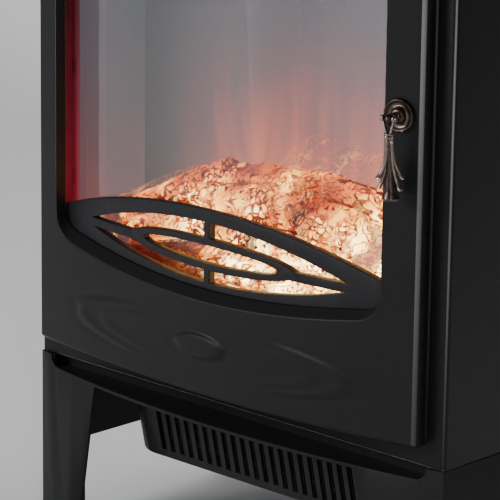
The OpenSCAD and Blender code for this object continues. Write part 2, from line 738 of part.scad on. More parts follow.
// A rocker lying at one end of its travel
module rocker(x) {
    translate([x, pivot_y, seam_z + panel_z]) rotate([rocker_tilt, 0, 0]) {
        rotate([90, 0, 90]) translate([0, 0, -rocker_w / 2]) linear_extrude(rocker_w) polygon([
            [-3.5, -rocker_h / 2 + 0.4], [-2, 0], [-3.5, rocker_h / 2 - 0.4], [2.5, rocker_h / 2 - 1],
            [6, 2], [6, -2], [2.5, -rocker_h / 2 + 1]]);
        rotate([0, 90, 0]) cylinder(r = 1.5, h = rocker_w + 2.8, center = true, $fn = small_fn);
    }
}
module power_rocker() color("#a81f1a") { rocker(rocker_x[0]); }
module heat_rocker() color("#1c1c1e") { rocker(rocker_x[1]); }
module thermostat() color("#6f7276") {
    translate([knob_x, front_y, seam_z + panel_z]) rotate([-90, 0, 0]) difference() {
        union() {
            translate([-14, -12, 5]) cube([28, 24, 16]);
            cylinder(r = spindle_r + 1.8, h = 6, $fn = small_fn);
        }
        translate([0, 0, -over]) cylinder(r = spindle_r + running, h = 15, $fn = small_fn);
    }
}
module thermostat_knob() color("#1e1e20") {
    translate([knob_x, panel_front - 0.6, seam_z + panel_z]) rotate([90, 0, 0]) {
        difference() {
            union() {
                cylinder(r = knob_r, h = 3, $fn = 96);
                cylinder(r = knob_r - 2, h = knob_h, $fn = 96);
            }
            for (i = [0:11]) rotate([0, 0, i * 30]) translate([knob_r - 1.2, 0, 4])
                cylinder(r = 1.4, h = knob_h, $fn = 24);
            translate([-0.6, 3, knob_h - 0.8]) cube([1.2, knob_r, 2]);
        }
        translate([0, 0, -15]) cylinder(r = spindle_r, h = 16, $fn = small_fn);
    }
}

// ---- Hinges and catch ----
module hinge_casing_leaves() color("#3a3b3e") {
    for (z0 = hinge_z) difference() {
        union() {
            for (z = [z0, z0 + 2 * hinge_h / 3]) translate([hinge_x, hinge_y, z])
                cylinder(r = knuckle_r, h = hinge_h / 3, $fn = small_fn);
            for (z = [z0, z0 + 2 * hinge_h / 3])
                box([hinge_x, front_y - leaf_t, z], [-door_half + 8, front_y, z + hinge_h / 3]);
            box([-door_half, front_y - leaf_t, z0], [-door_half + 8, front_y, z0 + hinge_h]);
        }
        translate([hinge_x, hinge_y, z0 - over]) cylinder(r = pin_r, h = hinge_h + 2 * over, $fn = small_fn);
    }
}
module hinge_pins() color("#8e9196") {
    for (z0 = hinge_z) translate([hinge_x, hinge_y, z0 - 1]) {
        cylinder(r = pin_r, h = hinge_h + 2, $fn = small_fn);
        translate([0, 0, hinge_h + 1]) cylinder(r = pin_r + 1, h = 1.2, $fn = small_fn);
    }
}
module hinge_door_leaves() color("#3a3b3e") {
    mid = hinge_h / 3;
    for (z0 = hinge_z) difference() {
        union() {
            translate([hinge_x, hinge_y, z0 + mid + knuckle_gap])
                cylinder(r = knuckle_r, h = mid - 2 * knuckle_gap, $fn = small_fn);
            box([hinge_x, door_back, z0 + mid + knuckle_gap],
                [-door_half + 10, door_back + leaf_t, z0 + 2 * mid - knuckle_gap]);
        }
        translate([hinge_x, hinge_y, z0]) cylinder(r = pin_r + running, h = hinge_h, $fn = small_fn);
    }
}
catch_z = (door_z0 + door_z1) / 2;
module magnet_catch() color("#28292b") {
    box([door_half - 9, front_y - door_gap + 1.4, catch_z - 18], [door_half - 2.5, front_y, catch_z + 18]);
}
module strike_plate() color("#9da0a4") {
    box([door_half - 9.5, door_back, catch_z - 20], [door_half - door_skin, door_back + 0.9, catch_z + 20]);
}

// ---- Door ----
// Everything between the bowed face and the plane of the door's turned edges
module door_plan(inset, back) {
    intersection() {
        translate([0, door_cy]) circle(door_r - inset);
        translate([-door_half + inset, front_y - 60])
            square([2 * (door_half - inset), 60 + back - front_y]);
    }
}
module door_panel() color("#2e2f31") {
    difference() {
        union() {
            difference() {
                translate([0, 0, door_z0]) linear_extrude(door_z1 - door_z0) door_plan(0, door_back);
                translate([0, 0, door_z0 + door_skin]) linear_extrude(door_z1 - door_z0 - 2 * door_skin)
                    door_plan(door_skin, door_back + over);
            }
            // reveal round the window
            intersection() {
                door_layer(door_skin / 2, reveal_d);
                through(front_y - 60, front_y + 20) window(door_skin);
            }
            // oval boss
            intersection() {
                door_layer(-boss_h, door_skin / 2);
                through(front_y - 60, front_y) translate([0, seam_z + boss_z]) polygon(oval(boss_a, boss_b));
            }
        }
        through(front_y - 60, front_y + 20) window(0);
        on_door(pull_x, seam_z + pull_z) rotate([90, 0, 0])
            cylinder(r = 2.1, h = 10, center = true, $fn = small_fn);
    }
}
module glass_ring() color("#151517") {
    intersection() {
        door_layer(reveal_d, reveal_d + ring_d);
        through(front_y - 60, front_y + 20) difference() {
            window(1 + ring_w);
            window(1);
        }
    }
}
glass_d = reveal_d + ring_d;
module door_glass() color("#30363c", 0.35) {
    intersection() {
        door_layer(glass_d, glass_d + glass_t);
        through(front_y - 60, front_y + 20) window(5);
    }
}
module glass_clips() color("#8e9196") {
    difference() {
        intersection() {
            door_layer(glass_d, glass_d + glass_t + 1.2);
            through(front_y - 60, front_y + 20) difference() {
                for (x = [-1, 1], z = [0.2, 0.5, 0.8])
                    translate([window_shift + x * (window_half + 4.8), window_z0 + z * (window_z1 - window_z0)])
                    square([8, 12], center = true);
                window(-over);
            }
        }
        intersection() {
            door_layer(glass_d - over, glass_d + glass_t);
            through(front_y - 60, front_y + 20) window(5);
        }
    }
}
module lens() {
    half = window_half - lens_margin;
    up = lens_top - arm_z;
    down = arm_z - lens_low;
    intersection() {
        translate([0, seam_z + lens_top - bow_radius(half, up)]) circle(bow_radius(half, up));
        translate([0, seam_z + lens_low + bow_radius(half, down)]) circle(bow_radius(half, down));
    }
}
module grille_face() {
    r = bow_radius(window_half, grille_bow);
    difference() {
        intersection() {
            window(1 - slip);
            translate([window_shift, seam_z + grille_top - r]) circle(r);
        }
        translate([window_shift, seam_z + arm_z]) {
            difference() {
                translate([0, -seam_z - arm_z]) lens();
                square([window_w, arm_h], center = true);
                square([bar_w, 80], center = true);
                translate([0, 1]) polygon(oval(oval_a, oval_b));
            }
            translate([0, 1]) polygon(oval(oval_a - oval_end, oval_b - oval_band));
        }
    }
}
module window_grille() color("#3c3c42") {
    intersection() {
        door_layer(reveal_d, reveal_d + grille_t);
        through(front_y - 60, front_y + 20) grille_face();
    }
}

// ---- Door pull ----
module on_pull() { on_door(pull_x, seam_z + pull_z) children(); }
module pull_rose() color("#5a4334") {
    on_pull() rotate([90, 0, 0]) difference() {
        rotate_extrude($fn = 96) polygon([[0, 0.1], [rose_r, 0.1], [rose_r, 1.4], [rose_r - 1.2, 2.6],
            [rose_r - 3.2, 2.8], [rose_r - 3.8, 1.9], [rose_r - 5, 1.9], [rose_r - 5.6, 3.4],
            [rose_r - 8, 4.6], [0, 4.6]]);
        translate([0, 0, -over]) cylinder(r = 2.2, h = 8, $fn = small_fn);
    }
}
module pull_post() color("#5a4334") {
    on_pull() difference() {
        union() {
            rotate([90, 0, 0]) cylinder(r = 2.2, h = pull_reach, $fn = small_fn);
            rotate([90, 0, 0]) translate([0, 0, 4.6]) cylinder(r = 3, h = pull_reach - 8, $fn = small_fn);
            intersection() {
                translate([0, -pull_reach, 0]) sphere(r = 4.2, $fn = small_fn);
                translate([0, -pull_reach, 0]) cube([2 * (ear_gap - 0.3), 12, 12], center = true);
            }
        }
        translate([0, -pull_reach, 0]) rotate([0, 90, 0])
            cylinder(r = drop_pin_r, h = 20, center = true, $fn = small_fn);
    }
}
module pull_pin() color("#5a4334") {
    on_pull() translate([0, -pull_reach, 0]) rotate([0, 90, 0]) {
        cylinder(r = drop_pin_r, h = 2 * (ear_gap + ear_t) + 0.8, center = true, $fn = small_fn);
        for (x = [-1, 1]) translate([0, 0, x * (ear_gap + ear_t + 0.7)])
            cylinder(r = drop_pin_r + 0.7, h = 0.8, center = true, $fn = small_fn);
    }
}
module pull_screw() color("#8e9196") {
    on_pull() translate([0, door_skin, 0]) rotate([0, 0, 180]) screw(3.6, 2.2, 1.9, door_skin);
}
module pull_drop() color("#5a4334") {
    on_pull() translate([0, -pull_reach, 0]) difference() {
        union() {
            for (x = [-1, 1]) translate([x * (ear_gap + ear_t / 2), 0, 0]) {
                rotate([0, 90, 0]) cylinder(r = 2.6, h = ear_t, center = true, $fn = small_fn);
                translate([-ear_t / 2, -2.2, -8]) cube([ear_t, 4.4, 8]);
            }
            translate([0, 0, -10]) rotate_extrude($fn = 64) polygon([[0, 2.6], [ear_gap + ear_t, 2.6],
                [ear_gap + ear_t, 0.4], [3, -1.6], [2.6, -8], [4, -16], [drop_r - 1.5, -25], [drop_r, -30],
                [drop_r - 3, -31], [drop_r - 1.6, -36], [drop_r - 2, -38], [drop_r - 4.2, -38.4],
                [drop_r - 3, 10 - drop_len], [0, 10 - drop_len]]);
        }
        rotate([0, 90, 0]) cylinder(r = drop_pin_r + running, h = 20, center = true, $fn = small_fn);
    }
}

base_shell();
base_scoop();
foot_pads();
outlet_grille();
outlet_grid();
blower_housing();
blower_wheel();
blower_motor();
heater_frame();
heater_coils();
thermal_cutout();
body_shell();
body_floor();
floor_screws();
back_panel();
back_screws();
wall_spacers();
cable_gland();
terminal_block();
top_plate();
firebox_liner();
flame_screen();
ember_bed();
log_set();
led_board();
flame_spindle();
spindle_bush();
flame_motor();
control_panel();
switch_housings();
power_rocker();
heat_rocker();
thermostat();
thermostat_knob();
hinge_casing_leaves();
hinge_pins();
magnet_catch();
door_panel();
glass_ring();
door_glass();
window_grille();
glass_clips();
hinge_door_leaves();
strike_plate();
pull_rose();
pull_post();
pull_pin();
pull_screw();
pull_drop();
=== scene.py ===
import math

import bmesh
import bpy
import numpy as np
from mathutils import Matrix, Vector


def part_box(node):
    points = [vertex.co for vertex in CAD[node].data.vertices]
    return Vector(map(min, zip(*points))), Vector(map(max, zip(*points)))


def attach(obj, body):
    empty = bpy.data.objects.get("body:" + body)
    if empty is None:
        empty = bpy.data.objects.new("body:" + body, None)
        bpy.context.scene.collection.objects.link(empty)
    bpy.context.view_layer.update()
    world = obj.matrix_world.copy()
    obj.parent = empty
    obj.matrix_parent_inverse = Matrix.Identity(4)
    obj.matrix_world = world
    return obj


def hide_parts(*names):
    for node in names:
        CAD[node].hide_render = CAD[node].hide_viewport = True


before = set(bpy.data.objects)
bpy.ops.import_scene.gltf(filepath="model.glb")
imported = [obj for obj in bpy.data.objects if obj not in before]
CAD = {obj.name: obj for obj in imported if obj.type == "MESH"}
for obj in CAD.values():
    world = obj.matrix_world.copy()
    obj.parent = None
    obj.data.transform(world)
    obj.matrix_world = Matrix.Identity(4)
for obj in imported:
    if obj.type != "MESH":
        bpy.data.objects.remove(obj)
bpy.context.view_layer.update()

scene = bpy.context.scene
MM = 0.001

# ---- Stage: a pale floor, soft studio light and the camera ----
# A low three-quarter view from the right with a long lens. The room is left out: a pale floor
# curves up behind the stove, with a broad light in front, a strip light at the side, and soft
# lights above the top and on the backdrop.
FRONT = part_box("body_shell")[0].y       # plane of the casing's sheet-metal front
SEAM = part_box("base_shell")[1].z        # joint between base and casing


def node(tree, kind, inputs=None, **settings):
    """One shader node: each input takes a constant or another node's output socket."""
    made = tree.nodes.new("ShaderNode" + kind)
    for key, value in settings.items():
        setattr(made, key, value)
    for key, value in (inputs or {}).items():
        if isinstance(value, bpy.types.NodeSocket):
            tree.links.new(value, made.inputs[key])
        else:
            made.inputs[key].default_value = value
    return made


def new_material(name, **constants):
    """A principled material, its node tree and its shader, with constants on the shader's sockets."""
    mat = bpy.data.materials.new(name)
    mat.use_nodes = True
    tree = mat.node_tree
    shader = next(n for n in tree.nodes if n.type == "BSDF_PRINCIPLED")
    for key, value in constants.items():
        shader.inputs[key.replace("_", " ")].default_value = value
    return mat, tree, shader


def spot(tree):
    """Object coordinates, in metres: every object stands at the origin."""
    return node(tree, "TexCoord").outputs["Object"]


def calc(tree, operation, *values):
    """The result of a Math node over up to three numbers or sockets."""
    return node(tree, "Math", dict(enumerate(values)), operation=operation).outputs[0]


def fit(tree, value, low, high, to_low=0.0, to_high=1.0, **more):
    """A value between low and high, clamped and put between to_low and to_high."""
    ends = {"Value": value, "From Min": low, "From Max": high, "To Min": to_low, "To Max": to_high}
    return node(tree, "MapRange", ends, **more).outputs[0]


def mix(tree, factor, under, over, blend="MIX"):
    """Two colours mixed by factor."""
    colours = {"Factor": factor, 6: under, 7: over}
    return node(tree, "Mix", colours, data_type="RGBA", blend_type=blend).outputs[2]


def mix_values(tree, factor, under, over):
    """Two numbers mixed by factor."""
    return node(tree, "Mix", {0: factor, 2: under, 3: over}, data_type="FLOAT").outputs[0]


def noise(tree, coord, scale, detail=2.0, rough=0.5, out="Fac"):
    """Noise over object coordinates, whose features are about 1/scale metres across."""
    settings = {"Vector": coord, "Scale": scale, "Detail": detail, "Roughness": rough}
    return node(tree, "TexNoise", settings).outputs[out]


def ramp(tree, factor, stops):
    """A colour ramp with stops of (place, colour); a number stands for a grey."""
    made = node(tree, "ValToRGB", {"Fac": factor})
    elements = made.color_ramp.elements
    while len(elements) < len(stops):
        elements.new(0.5)
    for element, (place, colour) in zip(elements, stops):
        element.position = place
        element.color = (*(colour if hasattr(colour, "__len__") else (colour,) * 3), 1)
    return made.outputs["Color"]


def feed(shader, **sockets):
    """Links sockets to the shader's inputs."""
    for key, socket in sockets.items():
        shader.id_data.links.new(socket, shader.inputs[key.replace("_", " ")])


def bumped(shader, strength, distance, height):
    """Gives the shader a bump of distance metres that follows a height value."""
    bump = node(shader.id_data, "Bump", {"Strength": strength, "Distance": distance, "Height": height})
    feed(shader, Normal=bump.outputs["Normal"])


def mesh_piece(name, points, faces, body, mat):
    """A new object from points (metres) and faces, riding on a body."""
    mesh = bpy.data.meshes.new(name)
    mesh.from_pydata(np.asarray(points, float).tolist(), [], np.asarray(faces).tolist())
    mesh.validate()
    obj = bpy.data.objects.new(name, mesh)
    scene.collection.objects.link(obj)
    mesh.polygons.foreach_set("use_smooth", [True] * len(mesh.polygons))
    obj.data.materials.append(mat)
    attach(obj, body)
    return obj


def grid_faces(rows, columns, close_rows=False, close_columns=False):
    """Quads over a grid of rows x columns points, closed round either way if asked."""
    i = np.arange(rows if close_rows else rows - 1)[:, None]
    j = np.arange(columns if close_columns else columns - 1)[None, :]
    a = i * columns + j
    b = i * columns + (j + 1) % columns
    c = ((i + 1) % rows) * columns + (j + 1) % columns
    d = ((i + 1) % rows) * columns + j
    return np.stack([a, b, c, d], -1).reshape(-1, 4)


FLOOR_HALF, FLOOR_DEPTH = 16.0, 5.0     # half the floor's width, and where it starts to curve up
CURVE_R, CLIMB = 1.5, 20.0              # radius of the curve, and rise of the wall behind it per share
FLAT, CURVED = 0.45, 0.3                # shares of the sweep
ROWS = 40
sweep = np.linspace(0, 1, ROWS)
bend = np.clip((sweep - FLAT) / CURVED, 0, 1) * math.pi / 2
floor_y = np.where(sweep < FLAT, -FLOOR_HALF + sweep / FLAT * (FLOOR_HALF + FLOOR_DEPTH),
                   FLOOR_DEPTH + CURVE_R * np.sin(bend))
floor_z = np.where(sweep < FLAT + CURVED, CURVE_R * (1 - np.cos(bend)),
                   CURVE_R + (sweep - FLAT - CURVED) * CLIMB)
floor_points = [(x, y, z) for y, z in zip(floor_y, floor_z) for x in (-FLOOR_HALF, FLOOR_HALF)]
pale = new_material("pale_floor", Roughness=0.7, Base_Color=(0.86, 0.86, 0.87, 1))[0]
mesh = bpy.data.meshes.new("floor")
mesh.from_pydata(floor_points, [], grid_faces(ROWS, 2).tolist())
floor = bpy.data.objects.new("floor", mesh)
scene.collection.objects.link(floor)
mesh.polygons.foreach_set("use_smooth", [True] * len(mesh.polygons))
floor.data.materials.append(pale)

AZIMUTH, ELEVATION, ROLL = math.radians(43.88), math.radians(14.85), math.radians(0.73)
back = Vector((math.sin(AZIMUTH) * math.cos(ELEVATION), -math.cos(AZIMUTH) * math.cos(ELEVATION),
               math.sin(ELEVATION)))
level = Vector((math.cos(AZIMUTH), math.sin(AZIMUTH), 0))
upright = back.cross(level)
right = level * math.cos(ROLL) + upright * math.sin(ROLL)
camera_data = bpy.data.cameras.new("camera")
camera_data.lens = 232.2                # millimetres
camera_data.clip_end = 30
camera = bpy.data.objects.new("camera", camera_data)
scene.collection.objects.link(camera)
EYE = (1.53382, FRONT - 1.57761, SEAM + 0.70018)
turn = Matrix((right, back.cross(right), back)).transposed().to_4x4()
camera.matrix_world = Matrix.Translation(EYE) @ turn
scene.camera = camera

world = bpy.data.worlds.new("studio")
world.use_nodes = True
scene.world = world
sky = world.node_tree.nodes["Background"]
sky.inputs["Color"].default_value = (0.80, 0.84, 0.90, 1)
sky.inputs["Strength"].default_value = 0.10


def softbox(name, place, aim, width, height, power):
    """A rectangular area light at place, facing aim."""
    data = bpy.data.lights.new(name, "AREA")
    data.shape = "RECTANGLE"
    data.size, data.size_y, data.energy = width, height, power
    lamp = bpy.data.objects.new(name, data)
    scene.collection.objects.link(lamp)
    lamp.location = place
    lamp.rotation_euler = (Vector(aim) - Vector(place)).to_track_quat("-Z", "Y").to_euler()


softbox("key", (-1.7, -3.0, 1.7), (0, 0, 0.3), 1.5, 1.3, 74)
softbox("strip", (2.3, -2.1, 1.1), (0, 0, 0.35), 0.16, 2.6, 14)
softbox("top", (-0.3, 0.9, 2.6), (0, 0.2, 0.2), 2.0, 1.6, 36)
softbox("backdrop", (0.0, 2.2, 2.2), (-0.5, 5.5, 0.4), 4.0, 1.5, 160)

# ---- Powder-coated sheet metal: casing, base and top plate ----
# Folded steel sheet with a matt charcoal powder coat. The coat is baked on, so it has a fine
# orange peel and soft edges, and a faint change of shade over a wide panel.


def powder_coat(name, tone, peel, rough):
    """Matt charcoal coat: a mottled tone, a painted highlight on upright folds that fades towards the bottom,
    and a bump of fine orange peel.
    """
    mat, tree, shader = new_material(name, Specular_IOR_Level=0.15)
    at = spot(tree)
    wide = noise(tree, at, 9, 3)
    fine = noise(tree, at, 1400, 3, 0.6)
    medium = noise(tree, at, 420, 2)
    grain = calc(tree, "ADD", fine, medium)
    shade = calc(tree, "MULTIPLY_ADD", wide, 0.45, 0.78)
    speck = fit(tree, fine, 0.3, 0.7, 0.86, 1.14)
    both = calc(tree, "MULTIPLY", shade, speck)
    colour = mix(tree, 1.0, (*tone, 1), both, "MULTIPLY")
    # painted highlight: a pale line where an upright fold turns through 45 degrees, fading towards the bottom
    facing = node(tree, "SeparateXYZ", {0: node(tree, "TexCoord").outputs["Normal"]})
    skew = calc(tree, "MULTIPLY", facing.outputs["X"], facing.outputs["Y"])
    skew = calc(tree, "ABSOLUTE", skew)
    fold = fit(tree, skew, 0.445, 0.495)    # the product is 0.5 where a fold's face turns to 45 degrees
    climb = fit(tree, node(tree, "SeparateXYZ", {0: at}).outputs["Z"], SEAM - 0.02, SEAM + 0.30, 0.12)
    painted_highlight = calc(tree, "MULTIPLY", fold, climb)
    # the coat with the painted highlight mixed in
    pale = mix(tree, painted_highlight, colour, (0.36, 0.36, 0.365, 1))
    feed(shader, Base_Color=pale, Roughness=fit(tree, medium, 0.3, 0.7, *rough))
    bumped(shader, peel, 0.00025, grain)
    return mat


def softened(name, cad_node, body, mat, width, angle=28.0, segments=2):
    """A merged copy of a CAD node's mesh with its sharp edges rounded off; it stands for the node."""
    mesh = CAD[cad_node].data.copy()
    mesh.name = name
    work = bmesh.new()
    work.from_mesh(mesh)
    bmesh.ops.remove_doubles(work, verts=work.verts, dist=2e-6)
    bmesh.ops.dissolve_degenerate(work, edges=work.edges, dist=2e-6)
    bmesh.ops.dissolve_limit(work, angle_limit=math.radians(0.6), verts=work.verts, edges=work.edges)
    work.to_mesh(mesh)
    work.free()
    mesh.materials.clear()
    mesh.materials.append(mat)
    mesh.polygons.foreach_set("use_smooth", [True] * len(mesh.polygons))
    obj = bpy.data.objects.new(name, mesh)
    scene.collection.objects.link(obj)
    bevel = obj.modifiers.new("edges", "BEVEL")
    bevel.width = width
    bevel.segments = segments
    bevel.limit_method = "ANGLE"
    bevel.angle_limit = math.radians(angle)
    bevel.harden_normals = True
    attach(obj, body)
    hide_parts(cad_node)


def finish_node(cad_node, mat):
    """Gives a carried-over CAD node its finished material."""
    mesh = CAD[cad_node].data
    mesh.materials.clear()
    mesh.materials.append(mat)


casing_coat = powder_coat("charcoal_powder_coat", (0.0170, 0.0172, 0.0180), 0.35, (0.36, 0.48))
softened("casing", "body_shell", "stove", casing_coat, 0.0005)
softened("base", "base_shell", "stove", casing_coat, 0.0009)
softened("top", "top_plate", "stove", casing_coat, 0.0012)
for part in ("back_panel", "base_scoop"):
    finish_node(part, casing_coat)

# ---- Door ----
# A single steel pressing: bowed in plan, with rolled upright edges, a bevelled reveal pressed
# round the window, an oval boss and two ripples either side of it. It gets the casing's coat.
door_low, door_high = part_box("door_panel")
glass_low, glass_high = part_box("door_glass")
DOOR_HALF = door_high.x
DOOR_BACK = door_high.y
BOW = 18.7 * MM
DOOR_R = (DOOR_HALF**2 + BOW**2) / (2 * BOW)
STAND = 15 * MM                         # gap from the casing's front to the door's upright edges
DOOR_CY = FRONT - STAND - BOW + DOOR_R
SKIN, REVEAL = 1.8 * MM, 9.8 * MM
WINDOW_X = (glass_low.x + glass_high.x) / 2
LAP = 5 * MM                            # the glass reaches this far past the window's edge
WINDOW_HALF = glass_high.x - WINDOW_X - LAP
WINDOW_LOW, WINDOW_HIGH = glass_low.z + LAP, glass_high.z - LAP
WINDOW_BOW, WINDOW_CORNER = 14 * MM, 22 * MM
BEVEL_RISE = 6.5 * MM


def face_y(x, depth=0.0):
    """Y of the bowed door's face, or of the layer that lies depth behind it."""
    return DOOR_CY - np.sqrt((DOOR_R - depth) ** 2 - x**2)


def window_outline(grow):
    """Window outline grown by grow: two wide arcs, straight sides and four round corners."""
    r0 = ((WINDOW_HALF - WINDOW_CORNER / 2) ** 2 + WINDOW_BOW**2) / (2 * WINDOW_BOW)
    r, rc = r0 + grow, WINDOW_CORNER + grow
    x = WINDOW_HALF + grow - rc
    swing = math.asin(x / (r - rc))
    rise = (r - rc) * math.cos(swing)
    low, high = WINDOW_LOW + r0, WINDOW_HIGH - r0
    down, quarter = 1.5 * math.pi, 0.5 * math.pi
    wide, small = 600, 200                                              # points on each arc
    arcs = [(0, low, r, down - swing, down + swing, wide),
            (x, low - rise, rc, down + swing, 2 * math.pi, small),
            (x, high + rise, rc, 0, quarter - swing, small),
            (0, high, r, quarter - swing, quarter + swing, wide),
            (-x, high + rise, rc, quarter + swing, math.pi, small),
            (-x, low - rise, rc, math.pi, down - swing, small)]
    turns = [(cx, cz, q, np.linspace(a, b, n)) for cx, cz, q, a, b, n in arcs]
    return np.concatenate([np.stack([WINDOW_X + cx + q * np.cos(t), cz + q * np.sin(t)], 1)
                           for cx, cz, q, t in turns])


def door_outline(inset, corner=2.5 * MM):
    """The door's rectangle moved in by inset, with small round corners."""
    r = max(corner - inset, 0.2 * MM)
    x, low, high = DOOR_HALF - inset - r, door_low.z + inset + r, door_high.z - inset - r
    quarter = np.linspace(0, math.pi / 2, 12)
    return np.concatenate([np.stack([cx + r * np.cos(t0 + quarter), cz + r * np.sin(t0 + quarter)], 1)
                           for cx, cz, t0 in ((x, high, 0), (-x, high, math.pi / 2),
                                              (-x, low, math.pi), (x, low, 1.5 * math.pi))])


EDGE = 0.9 * MM                         # radius of the reveal's front edge
RIM_REACH = 2.7 * MM                    # how much nearer the casing the rim comes, but for the hinge side
turn_in = np.radians([0, 14, 28, 42])
FOLD, FOLD_R = 3.3 * MM, 1.6 * MM       # reach and radius of the rolled edge
ROLL_OVER = [(FOLD - FOLD_R * math.sin(a), FOLD_R * (1 - math.cos(a))) for a in turn_in]
ROLL_OVER += [(d, inset) for inset, d in ROLL_OVER[::-1]]               # mirrored about the 45 degree line
RAYS, FACE_LOOPS = 560, 92
BOSS_HALF, BOSS_HEIGHT, BOSS_UP = 0.0235, 0.0092, 0.0527
RIPPLES = ((0.128, 0.0195, 0.0513, 0.9 * MM), (0.1, 0.0145, 0.051, 0.6 * MM))   # as ripple() takes them
RAY_CENTRE = np.array([WINDOW_X, (WINDOW_LOW + WINDOW_HIGH) / 2])


def along_rays(outline, angles):
    """Where rays from the window's centre at the given angles meet a closed outline."""
    closed = np.concatenate([outline, outline[:1]])
    fine = np.linspace(0, len(closed) - 1, 24000)
    dense = np.stack([np.interp(fine, np.arange(len(closed)), closed[:, k]) for k in (0, 1)], 1) - RAY_CENTRE
    angle = np.arctan2(dense[:, 1], dense[:, 0])
    order = np.argsort(angle)
    radius = np.interp(angles, angle[order], np.hypot(dense[:, 0], dense[:, 1])[order], period=2 * math.pi)
    return RAY_CENTRE + radius[:, None] * np.stack([np.cos(angles), np.sin(angles)], 1)


def ripple(x, z, half, height, middle, lift):
    """A ridge that follows an ellipse, widest at its far ends and fading out towards the boss."""
    u, v = x / half, (z - middle) / height
    rho = np.sqrt(u**2 + v**2) + 1e-9
    slope = np.sqrt((u / half) ** 2 + (v / height) ** 2) / rho
    away = (rho - 1) / slope
    tip = np.abs(u) / rho
    width = (2.3 + 3.6 * tip**6) * MM
    fade = np.clip((np.abs(x) / half - 0.34) / 0.42, 0, 1)
    fade = fade * fade * (3 - 2 * fade)
    groove = np.exp(-((away / width - 1.5) / 0.8) ** 2)
    return lift * fade * (np.exp(-((away / width) ** 2)) - 0.45 * groove)


def relief(x, z):
    """How far the pressing stands proud: the oval boss and two nested ripples on each side."""
    up = z - SEAM
    rho = np.sqrt((x / BOSS_HALF) ** 2 + ((up - BOSS_UP) / BOSS_HEIGHT) ** 2)
    edge = np.clip((1.12 - rho) / 0.34, 0, 1)
    boss = 1.9 * MM * edge * edge * (3 - 2 * edge) + 0.5 * MM * np.clip(1 - rho**2, 0, 1)
    moat = -0.35 * MM * np.exp(-(((rho - 1.22) / 0.12) ** 2))
    proud = boss + moat
    for half, height, middle, lift in RIPPLES:
        proud = proud + ripple(x, up, half, height, middle, lift)
    return proud


def door_skin():
    """Loops round the window joined into one closed wall: reveal, face, rolled edge, and back inside."""
    outer = door_outline(0)
    closed = np.concatenate([outer, outer[:1]])
    run = np.concatenate([[0], np.cumsum(np.hypot(*np.diff(closed, axis=0).T))])
    spots = np.union1d(np.linspace(0, run[-1], RAYS, endpoint=False), run[:-1])
    spread = np.stack([np.interp(spots, run, closed[:, k]) for k in (0, 1)], 1) - RAY_CENTRE
    angles = np.sort(np.arctan2(spread[:, 1], spread[:, 0]))
    angles = angles[np.diff(angles, prepend=angles[0] - 1) > 5e-4]      # no two columns that nearly coincide

    def bevelled(grow, share):
        """The window's outline, its wide edges moved in by share of the bevel."""
        p = along_rays(window_outline(grow), angles)
        above = p[:, 1] - RAY_CENTRE[1]
        flat = np.clip((np.abs(above) / ((WINDOW_HIGH - WINDOW_LOW) / 2) - 0.74) / 0.2, 0, 1)
        p[:, 1] -= np.sign(above) * BEVEL_RISE * share * flat * flat * (3 - 2 * flat)
        return p

    loops = []
    for d in np.linspace(REVEAL, EDGE, 7):                              # up the reveal
        loops.append((bevelled(0.1 * MM, d / REVEAL), d))
    for a in np.linspace(0, math.pi / 2, 5)[1:]:                        # over its front edge
        left = 1 - math.sin(a)
        loops.append((bevelled(0.1 * MM + EDGE * (1 - math.cos(a)), 0.1 * left), EDGE * left))
    inner, outer = loops[-1][0], along_rays(door_outline(ROLL_OVER[0][0]), angles)
    for t in np.linspace(0, 1, FACE_LOOPS)[1:]:                         # across the face
        loops.append((inner + (outer - inner) * t, 0.0))
    for inset, d in ROLL_OVER[1:]:                                      # round the rolled edge
        loops.append((along_rays(door_outline(inset), angles), d))
    points = []
    for p, d in loops:
        lift = relief(p[:, 0], p[:, 1]) if d == 0 else 0
        points.append(np.stack([p[:, 0], face_y(p[:, 0], d) - lift, p[:, 1]], 1))
    for inset in (0, SKIN):                                             # turned-in rim
        p = along_rays(door_outline(inset), angles)
        reach = RIM_REACH * np.clip((p[:, 0] + DOOR_HALF - 12 * MM) / (20 * MM), 0, 1)
        points.append(np.stack([p[:, 0], DOOR_BACK + reach, p[:, 1]], 1))
    inner, outer = bevelled(SKIN, 0.1), along_rays(door_outline(SKIN), angles)
    for t in np.linspace(1, 0, 12):                                     # back across the inside
        p = inner + (outer - inner) * t
        points.append(np.stack([p[:, 0], face_y(p[:, 0], SKIN), p[:, 1]], 1))
    for share, d in ((0.55, 0.55 * REVEAL), (1.0, REVEAL)):
        p = bevelled(SKIN, share - 0.1)
        points.append(np.stack([p[:, 0], face_y(p[:, 0], d), p[:, 1]], 1))
    points = np.array(points)
    faces = grid_faces(points.shape[0], points.shape[1], True, True)[:, ::-1]
    return points.reshape(-1, 3), faces


door_coat = powder_coat("door_powder_coat", (0.0185, 0.0187, 0.0196), 0.3, (0.35, 0.45))
door_points, door_faces = door_skin()
door = mesh_piece("door", door_points, door_faces, "door", door_coat)
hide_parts("door_panel")

# ---- Window grille, glass and their ring ----
# The oval grille is a sand casting painted blue-black, screwed in behind the reveal. The glass
# is bent toughened glass with a faint smoke tint, held by clips against a black steel ring.
# The embers' red light on the ring and the clips is a painted glow.
cast, tree, shader = new_material("cast_grille", Specular_IOR_Level=0.26)
at = spot(tree)
sand = noise(tree, at, 900, 4, 0.65)
pits = noise(tree, at, 260, 2)
feed(shader, Base_Color=ramp(tree, sand, [(0.3, (0.012, 0.012, 0.015)), (0.7, (0.026, 0.025, 0.030))]))
feed(shader, Roughness=ramp(tree, pits, [(0.3, 0.34), (0.7, 0.5)]))
bumped(shader, 0.5, 0.0003, calc(tree, "ADD", sand, pits))
softened("grille", "window_grille", "door", cast, 0.0008, 32, 3)

